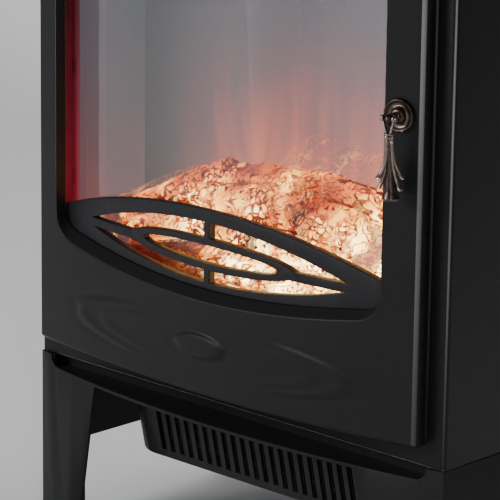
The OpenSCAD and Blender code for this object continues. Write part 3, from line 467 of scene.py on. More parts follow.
satin, tree, shader = new_material("satin_black_steel", Roughness=0.5, Specular_IOR_Level=0.15,
                                   Emission_Color=(0.60, 0.008, 0.045, 1))
at = spot(tree)
feed(shader, Base_Color=ramp(tree, noise(tree, at, 60, 4), [(0.35, 0.010), (0.65, 0.018)]))
split = node(tree, "SeparateXYZ", {0: at})
# painted red glow: emission strongest low down, in upright streaks, for the embers' light on the ring and
# clips
climb = fit(tree, split.outputs["Z"], SEAM + 0.10, SEAM + 0.32, 1.0, 0.12, interpolation_type="SMOOTHSTEP")
streak = noise(tree, node(tree, "Mapping", {"Vector": at, "Scale": (1, 1, 0.15)}).outputs[0], 90, 2)
glow = calc(tree, "MULTIPLY", climb, streak)
feed(shader, Emission_Strength=calc(tree, "MULTIPLY", glow, 0.42))
finish_node("glass_ring", satin)

smoke = new_material("smoked_glass", Roughness=0.02, IOR=1.45, Transmission_Weight=1.0, Alpha=0.16,
                     Base_Color=(0.80, 0.82, 0.84, 1))[0]
finish_node("door_glass", smoke)
finish_node("glass_clips", satin)

# ---- Drop pull ----
# A cast-bronze drop pull: a turned rose on the door, a post with an eye, a pin, and a bundle of
# flared reeds that hangs from it. The bronze is blackened, and rubbed bright on its high edges.
pin_low, pin_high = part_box("pull_pin")
PIN = (pin_low + pin_high) / 2
REACH = 14.0                            # mm from the door's face to the pin
PULL_ANGLE = math.asin(PIN.x / (DOOR_R + REACH * MM))
TANGENT = np.array([math.cos(PULL_ANGLE), math.sin(PULL_ANGLE), 0])
OUTWARD = np.array([math.sin(PULL_ANGLE), -math.cos(PULL_ANGLE), 0])
UP = np.array([0, 0, 1.0])


def bronze(name, dark, bright, wear):
    """Blackened bronze: dark patina with cloudy brown, rubbed through to metal on convex edges."""
    mat, tree, shader = new_material(name, Metallic=1.0)
    at = spot(tree)
    cloud = noise(tree, at, 170, 4, 0.6)
    scuff = noise(tree, at, 900, 3, 0.6)
    edge = calc(tree, "SUBTRACT", node(tree, "NewGeometry").outputs["Pointiness"], 0.5)
    rub = calc(tree, "MULTIPLY_ADD", edge, wear, 0.02)
    rub = calc(tree, "MULTIPLY_ADD", scuff, 0.5, rub)
    rub = fit(tree, rub, 0.30, 0.85)
    patina = ramp(tree, cloud, [(0.35, dark), (0.62, tuple(2.3 * c for c in dark))])
    colour = mix(tree, rub, patina, (*bright, 1))
    feed(shader, Base_Color=colour)
    rough = fit(tree, rub, 0.0, 1.0, 0.34, 0.24)
    feed(shader, Roughness=rough)
    bumped(shader, 0.25, 0.00015, scuff)
    return mat


def on_pull(u, w, out):
    """Pull coordinates in mm (along the door, up, outwards from its face) as points in metres."""
    u, w, out = np.broadcast_arrays(u, w, out)
    local = (u[..., None] * TANGENT + w[..., None] * UP + (out[..., None] - REACH) * OUTWARD) * MM
    return local + np.array(PIN)


def turned(profile, count, place):
    """Surface of revolution: profile rows of (radius, height) swung round count steps by place(a, b, h)."""
    r, h = np.array(profile, float).T
    t = np.linspace(0, 2 * math.pi, count, endpoint=False)
    points = place(r[:, None] * np.cos(t), r[:, None] * np.sin(t), h[:, None] + 0 * t)
    return points.reshape(-1, 3), grid_faces(len(r), count, False, True)


def rounded_profile(corners, steps=5):
    """A profile whose corners are cut by short quadratic curves, to make soft turned edges."""
    c = np.array(corners, float)
    out = [c[0]]
    t = np.linspace(0, 1, steps)[:, None]
    for before, here, after in zip(c[:-2], c[1:-1], c[2:]):
        a, b = here + (before - here) * 0.3, here + (after - here) * 0.3
        out.extend((1 - t) ** 2 * a + 2 * t * (1 - t) * here + t * t * b)
    return np.array(out + [c[-1]])


antique = bronze("antique_bronze", (0.050, 0.034, 0.028), (0.78, 0.64, 0.56), 9.0)
rose_profile = rounded_profile([
    (0.01, 0.1), (10.9, 0.1), (11.5, 0.8), (11.4, 2.3), (10.5, 3.1), (9.5, 2.7), (8.4, 1.5), (6.9, 1.1),
    (5.9, 1.6), (5.5, 3.0), (4.4, 4.4), (3.0, 5.0), (0.01, 5.0)])
points, faces = turned(rose_profile, 96, lambda a, b, h: on_pull(a, b, h))
rose = mesh_piece("rose", points, faces[:, ::-1], "door", antique)
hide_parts("pull_rose")

post_profile = rounded_profile([
    (0.01, -1.5), (2.2, -1.5), (2.2, 4.6), (3.2, 4.7), (3.2, 5.8), (2.3, 6.4), (1.9, 7.6), (2.1, 8.6),
    (3.1, 9.1), (3.1, 9.8), (2.6, 10.3)])
ball = [(2.95 * math.sin(t), 14 - 2.95 * math.cos(t)) for t in np.linspace(0.52, math.pi - 0.002, 20)]
points, faces = turned(np.vstack([post_profile, ball]), 48, lambda a, b, h: on_pull(a, b, h))
post = mesh_piece("post", points, faces[:, ::-1], "door", antique)
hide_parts("pull_post")

pin_profile = rounded_profile([
    (0.01, -6.6), (1.2, -6.5), (1.9, -6.0), (1.9, -5.2), (1.1, -4.9), (1.1, 4.9), (1.9, 5.2), (1.9, 6.0),
    (1.2, 6.5), (0.01, 6.6)])
points, faces = turned(pin_profile, 32, lambda a, b, h: on_pull(h, a, REACH + b))
pin = mesh_piece("pull_pivot_pin", points, faces, "door", antique)
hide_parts("pull_pin")


def on_drop(u, w, out):
    """Drop coordinates in mm from its pin; the foot hangs a little to the right and to the door."""
    sag = np.clip(-np.asarray(w, float) / 54, 0, 1)
    out = np.where(np.asarray(out) < 0, 0.6, 1.0) * out                 # flatter towards the door
    return on_pull(u + 1.7 * sag**1.6, w, REACH + out - 2.4 * sag)


TIP = ((0.2, -0.5, 0.9, 0.8), (-0.2, -0.2, 0.55, 0.5), (-0.3, 0.4, 0.01, 0.01))     # rings at a reed's tip


def reed(angle, low, spread, width, top=-11.5, start=1.7):
    """One flared reed: an oval section that leaves the stem, curves outward and opens into a tip."""
    s = np.linspace(0, 1, 34)
    t = np.linspace(0, 2 * math.pi, 20, endpoint=False)
    away = start + (spread - start) * s**3
    flare = 0.7 + 0.2 * s + 0.75 * np.clip((s - 0.86) / 0.14, 0, 1) ** 2
    half_w, half_t = 0.5 * width * flare, 0.42 * width * (0.8 + 0.2 * flare)
    down = top + (low - top) * s
    root = (away[:1], down[:1] + 0.3, half_w[:1] * 0.01, half_t[:1] * 0.01)
    tip = [(away[-1:] + out, down[-1:] + up, half_w[-1:] * share_w, half_t[-1:] * share_t)
           for out, up, share_w, share_t in TIP]
    rows = [root, (away, down, half_w, half_t)] + tip
    a, w, hw, ht = (np.concatenate(part)[:, None] for part in zip(*rows))
    radial, across = a + ht * np.cos(t), hw * np.sin(t)
    ca, sa = math.cos(angle), math.sin(angle)
    points = on_drop(radial * ca - across * sa, w + 0 * t, radial * sa + across * ca)
    return points.reshape(-1, 3), grid_faces(len(a), 20, False, True)


def joined(parts):
    """Several (points, faces) meshes as one."""
    offset = np.cumsum([0] + [len(p) for p, _ in parts[:-1]])
    return np.vstack([p for p, _ in parts]), np.vstack([f + o for (_, f), o in zip(parts, offset)])


parts = []
for side in (-1, 1):                                                    # fork ears round the post's ball
    ear = rounded_profile([(0.01, 3.3), (2.5, 3.3), (2.6, 4.1), (2.5, 4.9), (0.01, 4.9)])
    points, faces = turned(ear, 28, lambda a, b, h, side=side: on_pull(side * h, a, REACH + b))
    parts.append((points, faces if side > 0 else faces[:, ::-1]))
    s = np.linspace(0, 1, 14)[:, None]
    t = np.linspace(0, 2 * math.pi, 16, endpoint=False)
    swell = np.sin(np.clip(s * 1.02, 0.02, 1) * math.pi / 2) ** 0.3
    limb_u = side * (4.1 - 2.7 * s**0.9) + 0.85 * swell * np.cos(t)
    points = on_pull(limb_u, -0.5 - 10.5 * s + 0 * t, REACH + (1.9 - 0.5 * s) * swell * np.sin(t))
    parts.append((points.reshape(-1, 3), grid_faces(14, 16, False, True)))
collar = rounded_profile([(0.01, -9.4), (2.9, -9.5), (3.5, -10.1), (3.5, -10.9), (2.9, -11.4), (2.3, -12),
                          (2.5, -13), (2.0, -14), (0.01, -14.2)])
parts.append(turned(collar, 40, lambda a, b, h: on_drop(a, h, 0.85 * b)))
horn = rounded_profile([(0.01, -12), (1.9, -12.2), (2.2, -22), (2.6, -32), (3.3, -41), (4.4, -48.5),
                        (5.9, -52.4), (6.3, -53.4), (6.1, -54.6), (5.2, -54.6), (3.4, -53.4),
                        (0.01, -53.0)], 7)
parts.append(turned(horn, 96, lambda a, b, h: on_drop(a, h, b)))
for degrees in (-18, 128, 200, 262):    # two tiers of reeds, none of them in front of the horn
    parts.append(reed(math.radians(degrees), -39.5, 8.6, 3.6))
for degrees in (2, 158, 236):
    parts.append(reed(math.radians(degrees), -47, 7.8, 3.2, top=-15, start=1.9))
points, faces = joined(parts)
drop = mesh_piece("drop", points, faces, "pull", antique)
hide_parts("pull_drop")

# ---- Firebox liner ----
# A dark enamelled steel box behind the window. Its side walls glow with a painted grey reflection
# of the screen, bluer further back and flushed with painted red light low down. Red light from
# the ember bed, also painted, runs up its front edges beside the glass in two bands, and fades
# out towards the top.
liner_low, liner_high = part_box("firebox_liner")
enamel, tree, shader = new_material("liner_enamel", Roughness=0.45)
at = spot(tree)
split = node(tree, "SeparateXYZ", {0: at})
speckle = noise(tree, at, 700, 3)
feed(shader, Base_Color=ramp(tree, speckle, [(0.35, (0.016, 0.015, 0.015)), (0.65, (0.026, 0.025, 0.025))]))
climb = fit(tree, split.outputs["Z"], SEAM + 0.10, SEAM + 0.33, 1.0, 0.0, interpolation_type="SMOOTHSTEP")
aside = calc(tree, "ABSOLUTE", split.outputs["X"])
wall = fit(tree, aside, liner_high.x - 22 * MM, liner_high.x - 21.4 * MM)
lip = fit(tree, aside, liner_high.x - 14.8 * MM, liner_high.x - 14.2 * MM)
deep = fit(tree, split.outputs["Y"], liner_low.y + 20 * MM, liner_low.y + 56 * MM)
# painted reflection: the side walls glow grey like the screen they face, bluer further back
painted_wall_reflection = mix(tree, deep, (0.112, 0.098, 0.116, 1), (0.082, 0.092, 0.098, 1))
low_down = calc(tree, "POWER", climb, 2.5)
# painted red glow from the embers on the side walls, strongest low down
painted_wall_glow = mix(tree, low_down, painted_wall_reflection, (0.19, 0.088, 0.095, 1))
bands = ramp(tree, fit(tree, aside, liner_high.x - 14.2 * MM, liner_high.x - 4 * MM),
             [(0.0, (0.30, 0.045, 0.06)), (0.26, (0.30, 0.03, 0.05)), (0.34, (0.20, 0.002, 0.014)),
              (0.72, (0.16, 0.001, 0.010)), (0.78, (0.008, 0.0, 0.0)), (1.0, (0.008, 0.0, 0.0))])
lit = calc(tree, "MULTIPLY_ADD", climb, 0.86, 0.14)
faded = mix(tree, 1.0, bands, lit, "MULTIPLY")
feed(shader, Emission_Color=mix(tree, lip, painted_wall_glow, faded), Emission_Strength=wall)
finish_node("firebox_liner", enamel)

# ---- Flame screen ----
# A frosted acrylic sheet lit from behind by the turning flame spindle, its light painted in as a
# glow: cool grey above and brightening to the right, and a warm glow above the logs with soft
# upright tongues in it.
acrylic, tree, shader = new_material("flame_screen_acrylic", Roughness=0.5, Specular_IOR_Level=0.08,
                                     Base_Color=(0.10, 0.10, 0.105, 1), Emission_Strength=0.9)
at = spot(tree)
split = node(tree, "SeparateXYZ", {0: at})
# painted glow: the grey brightens from left to right
grey = fit(tree, split.outputs["X"], -0.15, 0.17)
grey_glow = ramp(tree, grey, [(0.0, (0.050, 0.052, 0.058)), (0.45, (0.122, 0.112, 0.130)),
                         (1.0, (0.28, 0.258, 0.280))])
sway = noise(tree, node(tree, "Mapping", {"Vector": at, "Scale": (1, 1, 0.5)}).outputs[0], 16, 2)
lean = calc(tree, "MULTIPLY_ADD", sway, 0.05, split.outputs["X"])
drawn_up = calc(tree, "MULTIPLY", split.outputs["Z"], 0.16)
upright = node(tree, "CombineXYZ", {"X": lean, "Y": 0.0, "Z": drawn_up})
tongues = noise(tree, upright.outputs[0], 42, 2.5, 0.5)
tongue = fit(tree, tongues, 0.36, 0.72, 0.25)
rise = fit(tree, split.outputs["Z"], SEAM + 0.135, SEAM + 0.30, 1.0, 0.0)
rise2 = calc(tree, "POWER", rise, 2.0)
middle = fit(tree, split.outputs["X"], -0.135, -0.03, interpolation_type="SMOOTHSTEP")
heat = calc(tree, "MULTIPLY", rise2, tongue)
heat = calc(tree, "MULTIPLY", heat, middle)
flame = ramp(tree, heat, [(0.0, (0.0, 0.0, 0.0)), (0.10, (0.12, 0.012, 0.002)), (0.35, (0.62, 0.075, 0.008)),
                          (0.65, (1.0, 0.20, 0.025)), (1.0, (1.0, 0.45, 0.12))])
feed(shader, Emission_Color=mix(tree, 1.0, grey_glow, flame, "ADD"))
finish_node("flame_screen", acrylic)

# ---- Ember bed and logs ----
# Thin vacuum-formed resin, cream inside and painted with char, lit from below by the board. Each
# log has ridged bark and broken ends; the bed is a slope of coals, brightest in the middle.
PRIMES = (374761393, 668265263, 2147483647)     # for the hash behind value_noise


def value_noise(points, scale, seed):
    """Smooth random values from 0 to 1: lattice values blended with smoothstep in three directions."""
    p = np.asarray(points, float) * scale
    cell = np.floor(p).astype(np.int64)
    f = p - cell
    f = f * f * (3 - 2 * f)

    def lattice(*step):
        """A hash of the lattice point, as a value from 0 to 1."""
        n = sum((cell[..., k] + step[k]) * PRIMES[k] for k in range(3))
        n = (n + seed * 144665) & 0xFFFFFFFF
        n = ((n ^ (n >> 13)) * 1274126177) & 0xFFFFFFFF
        return ((n ^ (n >> 16)) & 0xFFFF) / 65535.0

    def blend(a, b, t):
        return a + (b - a) * t

    x0 = blend(lattice(0, 0, 0), lattice(1, 0, 0), f[..., 0])
    x1 = blend(lattice(0, 1, 0), lattice(1, 1, 0), f[..., 0])
    x2 = blend(lattice(0, 0, 1), lattice(1, 0, 1), f[..., 0])
    x3 = blend(lattice(0, 1, 1), lattice(1, 1, 1), f[..., 0])
    return blend(blend(x0, x1, f[..., 1]), blend(x2, x3, f[..., 1]), f[..., 2])


def log_surface(start, end, r, arch, seed):
    """A billet along a bowed line: bark ridges run lengthways, knots swell it, dished ends close it."""
    a, b = (np.array([p[0], p[1] + FRONT / MM, p[2] + SEAM / MM]) for p in (start, end))
    length = np.linalg.norm(b - a)
    axis = (b - a) / length
    side = np.cross(axis, UP)
    side /= np.linalg.norm(side)
    lift = np.cross(side, axis)
    n_s, n_t = max(int(length * 1.1), 40), 100
    s = np.linspace(0, 1, n_s)
    ends = [0.0, 0.25, 0.5, 0.75, 0.92]
    t = np.linspace(0, 2 * math.pi, n_t, endpoint=False)
    round_off = np.minimum(1, 0.9 + np.minimum(s, 1 - s) * length / 18)
    along = np.concatenate([np.zeros(5), s, np.ones(5)])
    scale = np.concatenate([ends, round_off, ends[::-1]])
    scale[0] = scale[-1] = 0.004
    hollow = np.array([0.8, 0.5, -0.2, 0.3, -0.3])
    dish = np.concatenate([hollow, 0 * s, -hollow[::-1]])
    ring = np.stack([np.cos(t), np.sin(t)], -1)
    flow = np.broadcast_arrays(along[:, None] * length / 22, 2.4 * ring[:, 0], 2.4 * ring[:, 1])
    flow = np.stack(flow, -1)
    ridges = value_noise(flow * [0.5, 1, 1], 2.6, seed)
    cracks = np.abs(value_noise(flow * [0.8, 1, 1], 3.4, seed + 9) - 0.5) * 2
    knots = value_noise(flow, 0.8, seed + 5)
    small = value_noise(flow, 7.0, seed + 3)
    bark = 0.86 + 0.22 * (knots - 0.3) + 0.14 * (ridges - 0.5)
    bark = bark + 0.10 * np.minimum(cracks, 0.45) + 0.05 * (small - 0.5)
    radius = r * scale[:, None] * bark
    rough_end = (value_noise(flow * [0.1, 1.6, 1.6] + along[:, None, None], 2.2, seed + 7) - 0.5) * 3.2
    edge = np.where(along < 0.5, np.exp(-along * length / 6), np.exp(-(1 - along) * length / 6))
    shift = along[:, None] * length + dish[:, None] + edge[:, None] * rough_end * scale[:, None]
    bow = arch * 4 * along * (1 - along)
    points = a + shift[..., None] * axis + (radius * ring[:, 0])[..., None] * side
    points = points + (radius * ring[:, 1] + bow[:, None])[..., None] * lift
    return points.reshape(-1, 3) * MM, grid_faces(len(along), n_t, False, True)


def lit_resin(name, low, high, char, hot, dim):
    """Resin lit from below: cream low down, orange above, with brown contour lines, char patches and painted
    shade in its creases.

    The light fades from height low to height high and starts at height dim; char is how much of the
    surface is burnt, and hot the power of the brightest spots.
    """
    mat, tree, shader = new_material(name, Roughness=0.42)
    at = spot(tree)
    split = node(tree, "SeparateXYZ", {0: at})
    warp = noise(tree, at, 70, 2, out="Color")
    bent = node(tree, "VectorMath", {0: warp, 1: (0.013, 0.013, 0.013), 2: at}, operation="MULTIPLY_ADD")
    field = noise(tree, bent.outputs[0], 52, 1.4, 0.45)
    lines = calc(tree, "MULTIPLY", field, 11.0)
    lines = calc(tree, "PINGPONG", lines, 0.5)
    cells = node(tree, "TexVoronoi", {"Vector": bent.outputs[0], "Scale": 185.0}, feature="DISTANCE_TO_EDGE")
    crackle = fit(tree, cells.outputs["Distance"], 0.08, 0.20)
    contour = fit(tree, lines, 0.07, 0.18)
    choose = noise(tree, at, 34, 2)
    pick = fit(tree, choose, 0.46, 0.56)
    marks = mix_values(tree, pick, contour, crackle)
    plain = fit(tree, noise(tree, at, 42, 2), 0.34, 0.42)
    marks = mix_values(tree, plain, 1.0, marks)
    patch = noise(tree, at, 46, 4, 0.6)
    burnt = fit(tree, patch, char - 0.03, char + 0.035, 0.05)
    level = fit(tree, split.outputs["Z"], low, high, 1.0, 0.36)
    cloud = noise(tree, at, 26, 2)
    soft = calc(tree, "MULTIPLY_ADD", cloud, 1.8, -0.86)
    warm = calc(tree, "ADD", level, soft)
    middle = calc(tree, "SUBTRACT", split.outputs["X"], 0.055)              # brightest right of the centre
    side = fit(tree, calc(tree, "ABSOLUTE", middle), 0.08, 0.21, 0.0, 0.28)
    warm = calc(tree, "SUBTRACT", warm, side)
    lined = calc(tree, "MULTIPLY_ADD", marks, 0.82, 0.18)
    warm = calc(tree, "MULTIPLY", warm, lined)
    warm = calc(tree, "MULTIPLY", warm, burnt)
    # the light starts a little higher up at the left
    slant = calc(tree, "MULTIPLY_ADD", split.outputs["X"], 0.16, split.outputs["Z"])
    lit = fit(tree, slant, dim, dim + 0.008, 0.08)
    warm = calc(tree, "MULTIPLY", warm, lit)
    # painted shade: ambient occlusion dims the glow in creases and between logs
    crease_shade = node(tree, "AmbientOcclusion", {"Distance": 0.014}, samples=6)
    crease_shade = fit(tree, crease_shade.outputs["AO"], 0.35, 0.85, 0.25)
    warm = calc(tree, "MULTIPLY", warm, crease_shade)
    colour = ramp(tree, warm, [(0.0, (0.20, 0.002, 0.012)), (0.14, (0.36, 0.010, 0.016)),
                               (0.30, (1.0, 0.07, 0.006)), (0.50, (1.0, 0.20, 0.016)),
                               (0.72, (1.0, 0.44, 0.065)), (0.95, (1.0, 0.74, 0.26))])
    power = calc(tree, "MULTIPLY_ADD", calc(tree, "POWER", warm, 2.3), hot, 0.3)
    # the surface colour follows the painted light and shade of the glow
    base = ramp(tree, warm, [(0.0, (0.018, 0.003, 0.004)), (0.5, (0.16, 0.05, 0.015)),
                             (1.0, (0.35, 0.20, 0.08))])
    feed(shader, Emission_Color=colour, Emission_Strength=power, Base_Color=base)
    bumped(shader, 0.6, 0.0007, calc(tree, "ADD", lines, patch))
    return mat


log_resin = lit_resin("log_resin", SEAM + 0.105, SEAM + 0.182, 0.375, 8.5, SEAM + 0.078)
billets = [((-150, 43, 107), (-40, 40, 160), 12, 1), ((-58, 41, 147), (150, 40, 149), 14, 13),
           ((-54, 14, 135), (-34, 48, 150), 11, 0), ((-36, 31, 138), (100, 20, 144), 16, 5),
           ((-22, 15, 121), (92, 14, 123), 11.5, 2), ((112, 15, 108), (146, 34, 143), 9.5, 0),
           ((-122, 23, 103), (-46, 24, 124), 11, 2), ((30, 34, 160), (50, 24, 167), 7.5, 0)]
points, faces = joined([log_surface(a, b, r, arch, 3 * k + 1) for k, (a, b, r, arch) in enumerate(billets)])
logs = mesh_piece("logs", points, faces, "stove", log_resin)
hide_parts("log_set")

bed_low, bed_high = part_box("ember_bed")
BED_X, BED_Y = 380, 84                  # points across the bed, and from its front to its back
COALS = 260
rng = np.random.default_rng(7)
bx = np.linspace(bed_low.x, bed_high.x, BED_X)[:, None]
by = np.linspace(bed_low.y, bed_high.y, BED_Y)[None, :]
along = (by - bed_low.y) / (bed_high.y - bed_low.y)
lie = np.clip((bx + 0.16) / 0.13, 0, 1)
climb = np.clip((along - 0.16) * 1.4, 0, 1) ** 0.8
slope = bed_low.z + 0.006 + (bed_high.z - bed_low.z - 0.014) * climb * lie
coals = np.zeros_like(slope)
for x, y, size in zip(rng.uniform(bed_low.x, bed_high.x, COALS), rng.uniform(bed_low.y, bed_high.y, COALS),
                      rng.uniform(0.0045, 0.0095, COALS)):
    away = ((bx - x) ** 2 + ((by - y) * 1.2) ** 2) / size**2
    coals = np.maximum(coals, 0.75 * size * np.sqrt(np.clip(1 - away, 0, 1)))
spots = np.stack(np.broadcast_arrays(bx, by, slope), -1)
height = slope + coals + 0.0022 * (value_noise(spots, 400, 5) - 0.5)
rim = np.minimum(np.minimum(bx - bed_low.x, bed_high.x - bx), np.minimum(by - bed_low.y, bed_high.y - by))
height = bed_low.z + (np.minimum(height, bed_high.z) - bed_low.z) * np.clip(rim / 0.002 + 0.12, 0, 1)
top = np.stack(np.broadcast_arrays(bx, by, height), -1)
under = top.copy()
under[..., 2] = np.maximum(bed_low.z, height - 0.0025)
count = top.shape[0] * top.shape[1]
shell = grid_faces(BED_X, BED_Y)
wall = np.concatenate([np.arange(BED_Y), np.arange(1, BED_X) * BED_Y + BED_Y - 1,
                       (BED_X - 1) * BED_Y + np.arange(BED_Y - 2, -1, -1),
                       np.arange(BED_X - 2, 0, -1) * BED_Y])
skirt = np.stack([wall, wall + count, np.roll(wall, -1) + count, np.roll(wall, -1)], -1)
embers = lit_resin("ember_resin", SEAM + 0.079, SEAM + 0.160, 0.36, 8.5, SEAM + 0.078)
bed = mesh_piece("embers", np.vstack([top.reshape(-1, 3), under.reshape(-1, 3)]),
                 np.vstack([shell[:, ::-1], shell + count, skirt]), "stove", embers)
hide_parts("ember_bed")

# ---- Moulded plastic and rubber: outlet, gland, switches, knob, bushes and pads ----
# Injection-moulded parts with a fine spark-eroded texture. The outlet grille and the knob have
# the small corner radius of a moulding; the panel's dial marks are printed round the knob.
knob_low, knob_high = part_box("thermostat_knob")
KNOB = ((knob_low.x + knob_high.x) / 2, (knob_low.z + knob_high.z) / 2)
KNOB_R = (knob_high.x - knob_low.x) / 2


def moulded(name, tone, rough, texture, gloss=0.4, spread=0.12):
    """Moulded plastic or rubber: faint flow clouds in the tone, and a fine texture in gloss and relief."""
    mat, tree, shader = new_material(name, Specular_IOR_Level=gloss)
    at = spot(tree)
    cloud = noise(tree, at, 45, 3)
    fine = noise(tree, at, 1600, 2, 0.6)
    low, high = (tuple(c * (1 + s * spread) for c in tone) for s in (-1, 1))
    feed(shader, Base_Color=ramp(tree, cloud, [(0.35, low), (0.65, high)]))
    feed(shader, Roughness=ramp(tree, fine, [(0.3, rough - 0.06), (0.7, rough + 0.06)]))
    bumped(shader, texture, 0.0002, fine)
    return mat


def printed(mat, mask, colour):
    """Prints a colour over a moulded part's own, wherever the mask is one."""
    tree = mat.node_tree
    shader = next(n for n in tree.nodes if n.type == "BSDF_PRINCIPLED")
    under = shader.inputs["Base Color"].links[0].from_socket
    ink = mix(tree, mask, under, (*colour, 1))
    feed(shader, Base_Color=ink)


outlet_plastic = moulded("outlet_plastic", (0.0155, 0.0158, 0.0168), 0.42, 0.3, 0.3)
softened("outlet", "outlet_grille", "stove", outlet_plastic, 0.0006)
dark_plastic = moulded("dark_plastic", (0.010, 0.010, 0.011), 0.5, 0.35)
for part in ("outlet_grid", "blower_wheel", "cable_gland", "switch_housings", "heat_rocker", "magnet_catch"):
    finish_node(part, dark_plastic)
rubber = moulded("black_rubber", (0.012, 0.012, 0.012), 0.72, 0.6, 0.25)
for part in ("foot_pads", "wall_spacers"):
    finish_node(part, rubber)
white_plastic = moulded("white_plastic", (0.66, 0.64, 0.58), 0.42, 0.2, 0.5, 0.04)
for part in ("thermal_cutout", "terminal_block", "spindle_bush"):
    finish_node(part, white_plastic)
finish_node("power_rocker", moulded("red_plastic", (0.36, 0.012, 0.010), 0.22, 0.08, 0.5, 0.06))

panel_plastic = moulded("panel_plastic", (0.014, 0.014, 0.015), 0.46, 0.3)
tree = panel_plastic.node_tree
split = node(tree, "SeparateXYZ", {0: spot(tree)})
aside = calc(tree, "SUBTRACT", split.outputs["X"], KNOB[0])
above = calc(tree, "SUBTRACT", split.outputs["Z"], KNOB[1])
turn_at = calc(tree, "ARCTAN2", aside, above)
offset = node(tree, "CombineXYZ", {"X": aside, "Z": above}).outputs[0]
away = node(tree, "VectorMath", {0: offset}, operation="LENGTH")
beat = calc(tree, "PINGPONG", turn_at, math.radians(13.5))              # a mark every 27 degrees
on_mark = calc(tree, "LESS_THAN", beat, 0.03)
on_ring = calc(tree, "COMPARE", away.outputs["Value"], KNOB_R + 2.6 * MM, 1.1 * MM)
in_sweep = calc(tree, "COMPARE", turn_at, 0.0, 2.4)
mark = calc(tree, "MULTIPLY", on_mark, on_ring)
mark = calc(tree, "MULTIPLY", mark, in_sweep)
printed(panel_plastic, mark, (0.62, 0.62, 0.60))
softened("panel", "control_panel", "stove", panel_plastic, 0.0008)

knob_plastic = moulded("knob_plastic", (0.013, 0.013, 0.014), 0.36, 0.15)
tree = knob_plastic.node_tree
split = node(tree, "SeparateXYZ", {0: spot(tree)})
in_line = calc(tree, "COMPARE", split.outputs["X"], KNOB[0], 0.9 * MM)
high_up = calc(tree, "GREATER_THAN", split.outputs["Z"], KNOB[1] + 3 * MM)
pointer = calc(tree, "MULTIPLY", in_line, high_up)
printed(knob_plastic, pointer, (0.70, 0.70, 0.68))
softened("knob", "thermostat_knob", "knob", knob_plastic, 0.0005)

# ---- Bare metal: zinc, galvanised sheet, motors, reflector and hinge pins ----
# Screws and pins are zinc plated, the fan duct and the casing's floor are galvanised sheet with
# spangles, motors are stacked steel laminations with a copper coil, reflectors polished aluminium.


def plated(name, low, high, rough, scale=260, drawn=(1, 1, 1)):
    """Bare or plated metal: two shades of metal and two degrees of gloss in a grain that may be drawn out."""
    mat, tree, shader = new_material(name, Metallic=1.0)
    at = node(tree, "Mapping", {"Vector": spot(tree), "Scale": drawn}).outputs[0]
    grain = noise(tree, at, scale, 4)
    feed(shader, Base_Color=ramp(tree, grain, [(0.35, low), (0.65, high)]))
    fine = noise(tree, at, 3 * scale, 3)
    feed(shader, Roughness=ramp(tree, fine, [(0.3, rough[0]), (0.7, rough[1])]))
    bumped(shader, 0.12, 0.0001, fine)
    return mat


zinc = plated("zinc_steel", (0.42, 0.43, 0.44), (0.60, 0.60, 0.58), (0.26, 0.44))
for part in ("pull_screw", "floor_screws", "back_screws", "hinge_pins", "strike_plate"):
    finish_node(part, zinc)
reflector = plated("bright_reflector", (0.74, 0.75, 0.77), (0.84, 0.85, 0.87), (0.12, 0.24), 300, (0.1, 1, 1))
finish_node("flame_spindle", reflector)
motor_can = plated("motor_can", (0.30, 0.30, 0.31), (0.40, 0.40, 0.41), (0.3, 0.42), 400, (1, 0.2, 0.2))
for part in ("flame_motor", "thermostat"):
    finish_node(part, motor_can)
for part in ("hinge_casing_leaves", "hinge_door_leaves"):
    finish_node(part, casing_coat)

spangle, tree, shader = new_material("galvanised_sheet", Metallic=1.0)
at = spot(tree)
warp = noise(tree, at, 90, 2, out="Color")
bent = node(tree, "VectorMath", {0: warp, 1: (0.01, 0.01, 0.01), 2: at}, operation="MULTIPLY_ADD")
crystal = node(tree, "TexVoronoi", {"Vector": bent.outputs[0], "Scale": 120.0})
facet = node(tree, "SeparateColor", {0: crystal.outputs["Color"]})
feed(shader, Base_Color=ramp(tree, facet.outputs[0], [(0.0, (0.36, 0.37, 0.385)), (1.0, (0.52, 0.53, 0.54))]))
feed(shader, Roughness=ramp(tree, facet.outputs[1], [(0.0, 0.28), (1.0, 0.5)]))
bumped(shader, 0.1, 0.0002, facet.outputs[0])
for part in ("blower_housing", "body_floor"):
    finish_node(part, spangle)

motor_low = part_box("blower_motor")[0]
stack, tree, shader = new_material("motor_laminations", Metallic=1.0)
at = spot(tree)
split = node(tree, "SeparateXYZ", {0: at})
plates = calc(tree, "PINGPONG", split.outputs["X"], 0.5 * MM)
wires = calc(tree, "PINGPONG", split.outputs["Z"], 0.4 * MM)
coil = calc(tree, "LESS_THAN", split.outputs["Z"], motor_low.z + 8 * MM)
leaf = ramp(tree, noise(tree, at, 300, 3), [(0.3, (0.30, 0.30, 0.31)), (0.7, (0.40, 0.40, 0.40))])
copper = ramp(tree, noise(tree, at, 300, 3), [(0.3, (0.50, 0.20, 0.09)), (0.7, (0.62, 0.28, 0.13))])
shade = mix(tree, coil, leaf, copper)
feed(shader, Base_Color=shade)
groove = mix_values(tree, coil, plates, wires)
feed(shader, Roughness=ramp(tree, noise(tree, at, 700, 2), [(0.3, 0.3), (0.7, 0.45)]))
bumped(shader, 0.8, 1.0, groove)
finish_node("blower_motor", stack)

# ---- Heater: wire coils on a mica frame ----
# Four close-wound coils of resistance wire, blued by heat, run the width of the fan duct in
# front of a frame cut from brown mica board. Each coil is one swept wire.
coil_low, coil_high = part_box("heater_coils")
COIL_R = (coil_high.y - coil_low.y) / 2
WIRE_R, PITCH = 0.42 * MM, 2.4 * MM


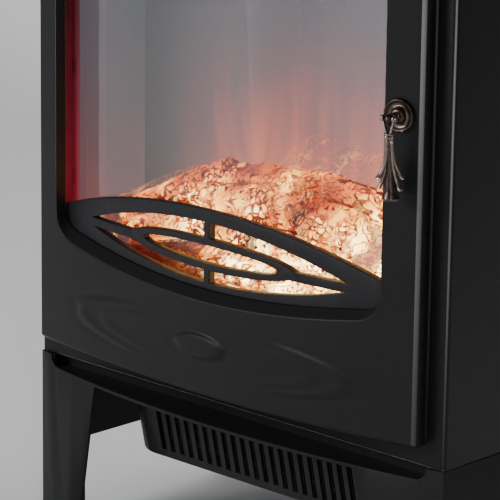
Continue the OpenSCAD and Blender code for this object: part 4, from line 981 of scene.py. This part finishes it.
def wire_coil(height):
    """A helix along X: centre (x, R cos a, R sin a) with a = 2 pi x / pitch, swept by a round section."""
    length = coil_high.x - coil_low.x - 2 * WIRE_R
    count = int(length / PITCH * 18)
    s = np.linspace(0, 1, count)[:, None]
    a = 2 * math.pi * s * length / PITCH
    b = np.linspace(0, 2 * math.pi, 6, endpoint=False)
    close = np.clip(np.minimum(s, 1 - s) * count, 0.02, 1)
    radius = COIL_R - WIRE_R + WIRE_R * close * np.cos(b)
    x = coil_low.x + WIRE_R + s * length + WIRE_R * close * np.sin(b)
    middle_y = (coil_low.y + coil_high.y) / 2
    points = np.stack([x, middle_y + radius * np.cos(a), height + radius * np.sin(a)], -1)
    return points.reshape(-1, 3), grid_faces(count, 6, False, True)


wire, tree, shader = new_material("heating_wire", Metallic=1.0)
at = spot(tree)
blued = noise(tree, at, 35, 3)
feed(shader, Base_Color=ramp(tree, blued, [(0.3, (0.30, 0.29, 0.28)), (0.5, (0.27, 0.22, 0.18)),
                                           (0.7, (0.17, 0.18, 0.25))]))
feed(shader, Roughness=ramp(tree, noise(tree, at, 900, 2), [(0.3, 0.32), (0.7, 0.5)]))
points, faces = joined([wire_coil(z) for z in np.linspace(coil_low.z + COIL_R, coil_high.z - COIL_R, 4)])
coils = mesh_piece("coils", points, faces, "stove", wire)
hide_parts("heater_coils")

mica, tree, shader = new_material("mica_board", Roughness=0.38)
at = spot(tree)
flake = node(tree, "TexVoronoi", {"Vector": at, "Scale": 170.0})
facet = node(tree, "SeparateColor", {0: flake.outputs["Color"]})
feed(shader, Base_Color=ramp(tree, facet.outputs[0], [(0.0, (0.30, 0.22, 0.13)), (0.6, (0.44, 0.34, 0.22)),
                                                      (1.0, (0.58, 0.50, 0.38))]))
bumped(shader, 0.3, 0.0003, noise(tree, at, 260, 4))
finish_node("heater_frame", mica)

# ---- Light board ----
# A green circuit board with tracks under its solder mask and a row of orange light-emitting
# diodes, which glow and light the ember bed from below.
board_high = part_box("led_board")[1]
green, tree, shader = new_material("circuit_board", Roughness=0.3, Emission_Color=(1.0, 0.34, 0.06, 1))
at = spot(tree)
split = node(tree, "SeparateXYZ", {0: at})
tracks = node(tree, "TexBrick", {"Vector": at, "Scale": 60.0, "Mortar Size": 0.06,
                                 "Color1": (0.012, 0.085, 0.03, 1), "Color2": (0.016, 0.11, 0.04, 1),
                                 "Mortar": (0.06, 0.22, 0.06, 1)})
diode = calc(tree, "GREATER_THAN", split.outputs["Z"], board_high.z - 1.7 * MM)
shade = mix(tree, diode, tracks.outputs["Color"], (0.8, 0.5, 0.2, 1))
feed(shader, Base_Color=shade)
power = calc(tree, "MULTIPLY", diode, 6.0)
feed(shader, Emission_Strength=power)
bumped(shader, 0.3, 0.0002, tracks.outputs["Fac"])
finish_node("led_board", green)
